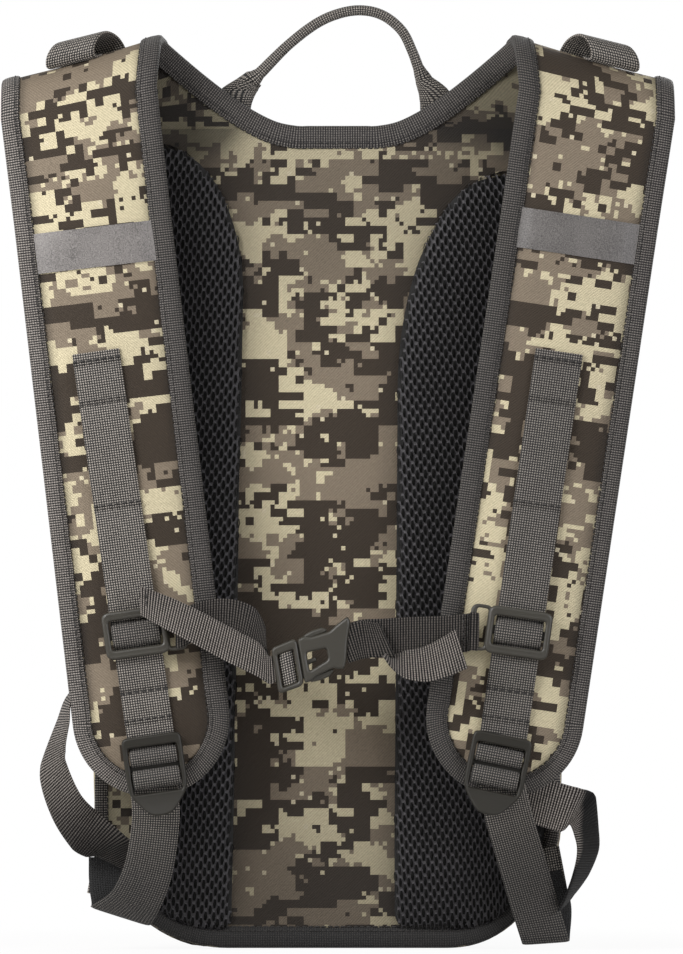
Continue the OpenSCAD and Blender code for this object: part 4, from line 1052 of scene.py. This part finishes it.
def chest_webbing():
    fold = hump("buckle_web_fold", lambda x, y, z: on_buckle(z, y, x), (-9.5, 7.3), -17.1, -8.5, 0.5, 4.0)
    fit(fold, "chest_strap", "webbing", "chest_web_left")
    tilt, up, leant = (-math.sin(BUCKLE_TILT), 0, math.cos(BUCKLE_TILT)), (0, 0, 1), (0.03, 0, 1)
    ring_l, ring_r = (on_slider(s, -SIGN[s] * 25.0, SLIDER_FACE, 0)[0] for s in (LEFT, RIGHT))
    # Each web's points, and the directions of its half widths, whose lengths draw the webs that turn edge on
    pieces = [
        ("chest_band_left", "chest_web_left", CHEST_W,
         [(ring_l - 2.5, -79, 168), (ring_l - 3.2, -82.4, 168.5), (ring_l + 1, -84, 170), (-72, -83, 173.5),
          (-58, -81.5, 175), (-46, -81.6, 170.5), (-38.5, -83, 160), (-34.4, -84.2, 148.5)],
         [up, up, up, up, (0.05, 0, 1), (0.25, 0.1, 1), (0.1, 0.2, 1), tilt]),
        ("chest_tail_band_left", "chest_tail_left", 19,
         [on_buckle(-18.8, -1.2, 2), on_buckle(-22.5, -2.6, 1.4), (-42, -88.6, 153.2), (-56, -89.4, 160.4),
          (-72, -90, 169), (-88, -89.6, 177), (-103.4, -88.6, 184)],
         [(-0.1, 0, 0.72), (-0.04, 0.1, 0.78), (0.12, 0.25, 0.9), (0.2, 0.3, 0.9), (0.24, 0.3, 0.88),
          (0.2, 0.25, 0.86), (0, 0.1, 0.8)]),
        ("chest_band_right", "chest_web_right", CHEST_W,
         [on_buckle(18, 0, 0), on_buckle(22, -1.0, 0), (14, -83.6, 164), (22.5, -83.2, 164.4),
          (40, -81.6, 165.4), (58, -81.6, 166), (70, -82.2, 167.4), (ring_r - 1, -83.6, 167.8),
          (ring_r + 3.4, -82.2, 167.6), (ring_r + 2.5, -79, 167.4)],
         [tilt, tilt, (-0.1, 0, 1), up, (0, 0.12, 1), (0, 0.12, 1), leant, leant, leant, leant]),
        ("chest_turn_right", "chest_tail_right", CHEST_W,
         [on_buckle(18, -1.5, 0), on_buckle(22, -3, 0), (15, -86.4, 163.6), (26.6, -88.2, 163)],
         [tilt, tilt, (-0.15, 0, 0.98), (-0.42, 0.1, 0.9)]),
        ("chest_tail_band_right", "chest_tail_right", 21.5,
         [(25.4, -86.6, 156.4), (29, -88.8, 152.6), (36, -90, 150.4), (46.5, -90.4, 150.6),
          (57, -89.8, 154.4), (65.4, -88.2, 158.6)],
         [(0.1, 0.9, 0.15), (0, 0.85, 0.4), (-0.02, 0.7, 0.7), (-0.1, 0.5, 0.86), (-0.22, 0.3, 0.92),
          (-0.3, 0.1, 0.95)])]
    for name, node, width, path, wides in pieces:
        web = band(name, path, wides, width, 1.3, RIBBED, step=1.5, square=False)
        # Painted shade on the chest bands and the turn; the loose tails are left unshaded
        shade(web, 0.0 if "tail" in name else 0.48)
        fit(web, "chest_strap", "webbing", node)
    for x, y in ((66.5, -83.2), (68.7, -83.42)):
        stitch("chest_strap", [(x, y, 159), (x, y, 176)])
    stitch("chest_strap", [(-99.5, -89.6, 175), (-100.5, -89.9, 190)])


def lower_web(s):
    """Web from the lock down to the body, folded back on itself at the bottom and sewn up the side."""
    points = (
        ((97, LOW_Y, 98), (97, LOW_Y, 90), (95.4, LOW_Y + 4, 70), (99, -61, 44), (105.5, -52, 27),
         (113, BACK_Y - 7, 18.4), (114.6, BACK_Y - 3.4, 17.2), (114.8, BACK_Y - 0.6, 18.6),
         (118.4, BACK_Y, 32), (118.8, BACK_Y, 48)),
        ((86, LOW_Y, 98), (86.4, LOW_Y, 90), (90, LOW_Y + 4, 72), (96, -60, 51), (104, -47, 24),
         (109.6, BACK_Y - 7, 5.4), (110.4, BACK_Y - 3.4, 3.4), (110.6, BACK_Y - 0.6, 5), (111.5, BACK_Y, 22),
         (106, BACK_Y, 40)))[s]
    wides = (
        ((1, -0.1), (1, -0.1), (1, 0.02), (1, 0.2), (1.02, 0.32), (1.22, 0.4), (1.26, 0.4), (1.2, 0.38),
         (1, 0.1), (1, 0)),
        ((1, -0.15), (1, -0.1), (0.97, 0.2), (0.96, 0.28), (0.97, 0.24), (1, 0.07), (1, 0.07), (1, 0.07),
         (0.98, 0.1), (0.98, 0.1)))[s]
    path = [(SIGN[s] * x, y, z) for x, y, z in points]
    wides = [(SIGN[s] * a, 0, b) for a, b in wides]
    web = band(SIDES[s] + "_lower_band", path, wides, WEB_W, WEB_T, WEBBING, square=False)
    # Painted shade: darker towards the bottom, and darker still on the layer folded behind
    shade(web, lambda x, y, z: 0.5 * ease((110 - z) / 80) + 0.3 * (y > BACK_Y - 2))
    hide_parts(SIDES[s] + "_lower_web")
    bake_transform(web)
    patch = [(drawn_in(SIGN[s] * (BODY_W / 2 - inset), z), y, z)
             for inset, y, z in ((1.5, -31.8, 28), (3, -31.9, 36), (6.5, -31.8, 53))]
    patch = band(SIDES[s] + "_anchor_patch", patch, [(1, 0, SIGN[s] * 0.15)] * 3, 11.5, 1.8, WEBBING)
    fit(patch, "pack", "webbing", SIDES[s] + "_anchor_tab")


def tail_loop(s):
    """Loose end of the lower web, which leaves the lock behind the strap and hangs in an open loop."""
    points = (
        ((-121, -56.5, 141), (-139.4, -58, 134.6), (-144.8, -57, 118.8), (-149.8, -54, 100.6),
         (-148.9, -52, 90.2), (-142.2, -50, 74), (-132.8, -48.6, 62.2), (-124.6, -48, 56.2),
         (-117.8, -47, 53), (-104, -45.6, 47)),
        ((92, -66, 83), (101, -66.5, 80), (110, -67, 77.2), (122.2, -66.4, 73.7), (127.5, -61, 74.3),
         (129.5, -59.4, 73), (131.3, -55.6, 63.2), (132.4, -53, 52.2), (128.6, -48, 39.1), (122.4, -45, 27),
         (119, -43.4, 22)))[s]
    wides = (
        ((0.1, -1, 0), (0.04, -0.99, -0.1), (0.3, -0.95, 0.05), (0.54, -0.78, 0.32), (0.55, -0.65, 0.52),
         (0.58, -0.57, 0.58), (0.56, -0.24, 0.79), (0.64, -0.4, 0.64), (0.72, -0.55, 0.36), (0.8, -0.3, 0.4)),
        ((0.2, 0, 0.97), (0.2, 0, 0.97), (0.23, 0, 0.97), (0.35, 0, 0.94), (0.48, 0.49, 0.72),
         (0.57, 0.58, 0.58), (0.54, 0.83, 0.12), (0.47, 0.88, 0), (0.34, 0.93, -0.04), (0.24, 0.9, 0.14),
         (0.2, 0.6, 0.16)))[s]
    web = band(SIDES[s] + "_tail_band", points, wides, WEB_W, WEB_T, RIBBED, square=False)
    # Painted shade: the left loop darker low down, and the right loop's far band darker where it turns back
    if s == LEFT:
        shade(web, lambda x, y, z: 0.6 * ease((100 - z) / 50))
    else:
        shade(web, lambda x, y, z: 0.9 * ease((y + 64) / 6))
    fit(web, "harness", "webbing", SIDES[s] + "_tail_loop")


def hose_keeper(s):
    """Loop of webbing over the fold: flat behind, rolled under itself in front."""
    mid, slant, thick, flatness = (133, 139)[s], 0.75, 1.6, 5
    base = FOLD_R + PAD_EDGE / 2 + 0.9
    # Along the fold's arc, and out from it
    profile = [(-12, 0.4), (-11, 3.6), (-7.5, 7.6), (-3, 10.2), (2, 11.8), (6, 11.4), (9, 9.2), (10.3, 6.0),
               (9.9, 2.6), (7.8, 0.8), (4.5, 0.6)]
    line, _ = curve_through(profile, 0.8)
    out = [np.array((-d[1], d[0])) / np.linalg.norm(d) for d in np.gradient(line, axis=0)]
    run = lengths_along(line)
    # Across the webbing, and how thick it is there
    slices = ([(-12.5, 0.5), (-12.1, 0.85)] + [(x, 1.0) for x in np.linspace(-11.2, 11.2, 12)]
              + [(12.1, 0.85), (12.5, 0.5)])
    rows, uv = [], []
    for x, share in slices:
        half = thick / 2 * share
        z = FOLD_Z + FOLD_SLOPE * (row_mid(fold_row(s, 90)) - mid - x)
        ring = [p + n * half for p, n in zip(line, out)]
        ring += [p - n * half for p, n in zip(line[::-1], out[::-1])]
        points = []
        for u, h in ring:
            angle = math.pi / 2 + u / (base + flatness)
            points.append((SIGN[s] * (mid + x + slant * u), FOLD_Y + (base + h) * math.cos(angle),
                           z - FOLD_SLOPE * slant * u + (base + h) * math.sin(angle)))
        rows.append(points)
        uv.append([(v, x) for v in np.concatenate([run, run[::-1], run[:1]])])
    keeper = loft(SIDES[s] + "_keeper_loop", rows, uv, WEBBING, sharp=60)
    fit(keeper, "harness", "webbing", SIDES[s] + "_hose_keeper")


def grab_handle():
    depth, flat, folded, groove_deep, groove_wide, squareness = -19.5, 1.4, 6.4, 0.9, 0.7, 0.6
    # Across, height, half width, and how far the webbing has turned from flat to folded
    marks = [(-56, 438.8, 9.6, 0), (-54.8, 447, 9.8, 0), (-52, 453.6, 10.2, 0), (-47, 457.8, 7.0, 0.25),
             (-41, 462.6, 3.2, 0.9), (-26, 477.5, 2.7, 1), (-11, 489, 2.7, 1), (2, 494.6, 2.7, 1),
             (14, 496, 2.7, 1), (25, 493, 2.7, 1), (34.5, 485, 2.7, 1), (40, 474, 2.7, 1),
             (43, 466, 2.9, 0.9), (46, 459.6, 4.6, 0.4), (50.4, 454.4, 7.8, 0.1), (53, 449, 9.4, 0),
             (53.8, 443.6, 9.8, 0), (54, 438.8, 9.8, 0)]
    places, indices = curve_through([(x, depth, z) for x, z, _, _ in marks], 1.6)
    turns = np.linspace(0, 2 * np.pi, 29)
    rows, uv = [], []
    for place, index, t, d in zip(places, indices, np.gradient(places, axis=0), lengths_along(places)):
        half, f = (np.interp(index, range(len(marks)), [m[k] for m in marks]) for k in (2, 3))
        square = unit([t[2], 0, -t[0]])
        level = np.array([math.copysign(1.0, t[2]), 0, 0]) if f < 0.5 else square
        cross = unit(mix(level, square, f))
        deep = mix(flat, folded, f)
        ring = []
        for a in turns[:-1]:
            c, e = math.cos(a), math.sin(a)
            p = half * math.copysign(abs(c) ** squareness, c)
            q = deep * math.copysign(abs(e) ** squareness, e)
            groove = groove_deep * f * bell(p, 0, groove_wide) if e < 0 else 0
            ring.append(place + cross * p + np.array([0, q + groove, 0]))
        rows.append(ring)
        uv.append([(d, v) for v in 2 * (half + deep) * np.linspace(-1, 1, len(turns))])
    handle = loft("grab_handle_webbing", rows, uv, WEBBING, sharp=70)
    fit(handle, "handle", "webbing", "grab_handle")
    for k, x in enumerate((-55, 53)):
        path = [(x, -21.0, 415), (x, -21.0, 425), (x, -20.6, 437)]
        foot = band("handle_anchor_%d" % (k + 1), path, [(1, 0, 0)] * 3, 20, 2.6, WEBBING)
        fit(foot, "pack", "webbing", "handle_anchors")


# Bag behind the panel

def bag_outline(inset):
    """Outline of the bag in x and z, drawn in by inset, from the middle of the bottom round."""
    low, high = BODY_W / 2 - CORNER_R, BODY_W / 2 - CROWN_R
    points = []
    for cx, cz, r, start in ((low, CORNER_R, CORNER_R, -90), (high, BAG_H - CROWN_R, CROWN_R, 0),
                             (-high, BAG_H - CROWN_R, CROWN_R, 90), (-low, CORNER_R, CORNER_R, 180)):
        for a in np.linspace(start, start + 90, 19):
            c, d = turn(a)
            points.append((cx + (r - inset) * c, cz + (r - inset) * d))
    return [(drawn_in(x, z), z) for x, z in filled_in(points, 8)]


def bag():
    outline, mid = bag_outline(0), BAG_H / 2
    around = lengths_along(outline + outline[:1])
    bulge = 1.5
    rows, uv = [], []
    for y in np.linspace(BAG_Y, FRONT_Y, 20):
        f = (y - BAG_Y) / (FRONT_Y - BAG_Y)
        ring = []
        for (x, z), d in zip(outline, around):
            ripple = noise.noise(Vector((d / 40, y / 18, 2.2)))
            out = bulge * math.sin(math.pi * f) * (0.6 + ripple)
            ring.append((x * (1 + out / (BODY_W / 2)), y, max(0.3, z + out * (z - mid) / mid)))
        rows.append(ring)
        uv.append([(d, y + GUSSET_PRINT) for d in around])
    fit(loft("gusset_cloth", rows, uv, CAMO), "pack", "camo_cloth", "side_gusset")

    rows = [[(x * k, y, mid + (z - mid) * k) for x, z in outline]
            for k, y in ((1.0, FRONT_Y), (1.0, SKIN_Y - 0.6), (0.99, SKIN_Y))]
    for k in np.linspace(0.97, 0.05, 20):
        row = []
        for x, z in outline:
            ripple = 0.5 * noise.noise(Vector((x * k / 50, z / 40, 5.1)))
            row.append((x * k, SKIN_Y + ripple, mid + (z - mid) * k))
        rows.append(row)
    uv = [[(p[0] + FRONT_PRINT, p[2]) for p in row + row[:1]] for row in rows]
    fit(loft("front_cloth", rows, uv, CAMO), "pack", "camo_cloth", "front_panel")

    path = [(x, FRONT_Y + 1, z) for x, z in bag_outline(0.4)]
    marks = edge_marks(np.array(path + path[:1]), 1, closed=True)
    tape = folded_tape("front_edge_tape", marks, 1.3, BIND_W, 6.0)
    fit(tape, "pack", "binding_tape", "front_binding")
    seam("pack", marks, BIND_W - 2, 2.7)


def front_pocket():
    width, height, low, radius = 190, 200, 50, 24
    outline = filled_in(rounded(rectangle(-width / 2, width / 2, low, low + height), radius), 6)
    mid = low + height / 2
    layers = [(1.0, 0.0), (1.0, 6), (1.0, 12), (0.995, 16), (0.98, 18.6), (0.95, 19.8)]
    layers += [(k, POCKET_DEPTH) for k in np.linspace(0.9, 0.04, 14)]
    rows, uv = [], []
    for k, y in layers:
        row = []
        for x, z in outline:
            ripple = 0.4 * noise.noise(Vector((x * k / 30, z * k / 30, y))) * (y > 1)
            row.append((x * k, SKIN_Y + y + ripple, mid + (z - mid) * k))
        rows.append(row)
        # The print runs over the edge and down the sides
        across, up = (1 + 2 * (POCKET_DEPTH - y) / size for size in (width, height))
        uv.append([(p[0] * across + POCKET_PRINT, mid + (p[2] - mid) * up) for p in row + row[:1]])
    fit(loft("pocket_cloth", rows, uv, CAMO), "pack", "camo_cloth", "front_pocket")


def lines_object(name, runs):
    """Plain mesh of edges through each run of points."""
    points, edges = [], []
    for run in runs:
        start = len(points)
        points += [[c * MM for c in p] for p in run]
        edges += [(start + i, start + i + 1) for i in range(len(run) - 1)]
    mesh = bpy.data.meshes.new(name)
    mesh.from_pydata(points, edges, [])
    obj = bpy.data.objects.new(name, mesh)
    bpy.context.collection.objects.link(obj)
    return obj


def rods_along(name, runs, pitch, length, radius, material):
    """Rods of a material along runs of points, with their sizes in mm."""
    values = {"Pitch": pitch * MM, "Length": length * MM, "Radius": radius * MM, "Material": material}
    return made_by_nodes(lines_object(name, runs), ROW_TREE, values)


def zip_chains():
    for name, length, y, z in (("main", 200, SKIN_Y, 330), ("pocket", 142, SKIN_Y + POCKET_DEPTH, 220)):
        end, face = length / 2 - 2, y + 2.6
        teeth = rods_along(name + "_zip_teeth", [[(-end, face, z), (end, face, z)]], 2.4, 1.3, 2.6, ZIP_METAL)
        fit(teeth, "pack", "zip_tape")


def all_stitches():
    for body, runs in stitch_runs.items():
        made = rods_along("stitches_%s_%s" % (body, THREAD.name), runs, 3.4, 2.5, 0.36, THREAD)
        fit(made, body, "binding_tape")


for side in (LEFT, RIGHT):
    for make in (shoulder_pad, strap_binding, reflective_tape, pad_core, spacer_net, strap_webbing,
                 ladder_lock, sternum_slider, lower_web, tail_loop, hose_keeper):
        make(side)
for make in (back_panel, panel_edge, neck_edge, buckle, chest_webbing, grab_handle, bag, front_pocket,
             zip_chains, all_stitches):
    make()

# Solids that show as they are
CARRIED = {ZIP_TAPE: ("main_zip_tape", "pocket_zip_tape"),
           ZIP_METAL: ("main_zip_slider", "pocket_zip_slider", "main_zip_pull", "pocket_zip_pull"),
           FILM: ("reservoir",), CAP: ("reservoir_cap", "hose_outlet"), RUBBER: ("cap_gasket", "hose_port")}
for material, node_names in CARRIED.items():
    for node_name in node_names:
        solid = NODES[node_name]
        solid.data.materials.clear()
        solid.data.materials.append(material)


# Camera, light and floor

def set_camera(scene):
    """Level camera far in front, so that the straps' plane is at the photograph's scale."""
    sensor = 36
    lens = bpy.data.cameras.new("camera")
    lens.sensor_fit, lens.sensor_height = "VERTICAL", sensor
    lens.lens = sensor * CAMERA_FAR / (IMAGE_H / PX_PER_MM)
    lens.clip_end = 50
    camera = bpy.data.objects.new("camera", lens)
    middle_x = (IMAGE_W / 2 - PHOTO_MID_X) / PX_PER_MM
    middle_z = (PHOTO_BASE_Y - IMAGE_H / 2) / PX_PER_MM
    camera.location = (middle_x * MM, (STRAP_PLANE_Y - CAMERA_FAR) * MM, middle_z * MM)
    camera.rotation_euler = (math.radians(90), 0, 0)
    scene.collection.objects.link(camera)
    scene.camera = camera


def set_world(scene):
    """White where it is seen, and a faint warm fill as light."""
    world = bpy.data.worlds.new("studio_white")
    world.use_nodes = True
    scene.world = world
    tree = world.node_tree
    tree.nodes.clear()
    rays = add(tree, "ShaderNodeLightPath")
    seen = rays.outputs["Is Camera Ray"]
    for kind in ("Is Glossy Ray", "Is Transmission Ray"):
        seen = add(tree, "ShaderNodeMath", {"operation": "MAXIMUM"}, {0: seen, 1: rays.outputs[kind]})
    fill = add(tree, "ShaderNodeBackground", None, {"Color": linear("#fff0dc"), "Strength": 0.13})
    white = add(tree, "ShaderNodeBackground", None, {"Color": (1, 1, 1, 1), "Strength": 1.0})
    both = add(tree, "ShaderNodeMixShader", None, {0: seen, 1: fill, 2: white})
    add(tree, "ShaderNodeOutputWorld", None, {"Surface": both})


def set_lights(scene):
    """Soft discs aimed at the middle of the pack: place, size, watts and colour."""
    aim = Vector((0, -0.03, 0.26))
    for name, place, size, watts, colour in (
            ("key", (-0.6, -0.62, 0.62), 0.5, 7.8, "#fdfcfd"), ("top", (0.1, -0.3, 1.2), 0.5, 0.8, "#ffffff"),
            ("side", (0.8, -0.8, 0.42), 0.6, 5.0, "#f4f5fb"), ("rim", (-1.1, -0.3, 0.3), 0.5, 2.0, "#ffffff"),
            ("behind", (0.5, 1.1, 0.8), 0.7, 7.0, "#ffffff")):
        lamp = bpy.data.lights.new(name, "AREA")
        lamp.shape, lamp.size, lamp.energy, lamp.color = "DISK", size, watts, linear(colour)[:3]
        obj = bpy.data.objects.new(name, lamp)
        obj.location = place
        obj.rotation_euler = (aim - obj.location).to_track_quat("-Z", "Y").to_euler()
        scene.collection.objects.link(obj)


def set_floor(scene):
    """White floor that keeps the pack's shadow near it and fades into the background further off."""
    material, tree, shader = new_material("white_studio_floor")
    shader.inputs["Base Color"].default_value = (0.9, 0.9, 0.9, 1)
    shader.inputs["Roughness"].default_value = 0.9
    rays = add(tree, "ShaderNodeLightPath")
    glow = add(tree, "ShaderNodeEmission", None, {"Color": (1, 1, 1, 1), "Strength": 1.0})
    place = add(tree, "ShaderNodeTexCoord")
    away = add(tree, "ShaderNodeVectorMath", {"operation": "LENGTH"}, {0: place.outputs["Object"]})
    clear = add(tree, "ShaderNodeMapRange", {"interpolation_type": "SMOOTHSTEP"},
                {"Value": away.outputs["Value"], "From Min": 0.12, "From Max": 0.5,
                 "To Min": 0.93, "To Max": 1.0})
    share = add(tree, "ShaderNodeMath", {"operation": "MULTIPLY"},
                {0: rays.outputs["Is Camera Ray"], 1: clear})
    both = add(tree, "ShaderNodeMixShader", None, {0: share, 1: shader, 2: glow})
    out = [n for n in tree.nodes if n.type == "OUTPUT_MATERIAL"][0]
    tree.links.new(both.outputs[0], out.inputs["Surface"])
    far, drop = 30.0, 0.0008
    mesh = bpy.data.meshes.new("floor")
    mesh.from_pydata([(-far, -far, 0), (far, -far, 0), (far, far, 0), (-far, far, 0)], [], [(0, 1, 2, 3)])
    mesh.materials.append(material)
    floor = bpy.data.objects.new("floor", mesh)
    floor.location.z = -drop
    scene.collection.objects.link(floor)


studio = bpy.context.scene
studio.view_settings.view_transform = "Standard"
for arrange in (set_camera, set_world, set_lights, set_floor):
    arrange(studio)
bpy.context.view_layer.update()
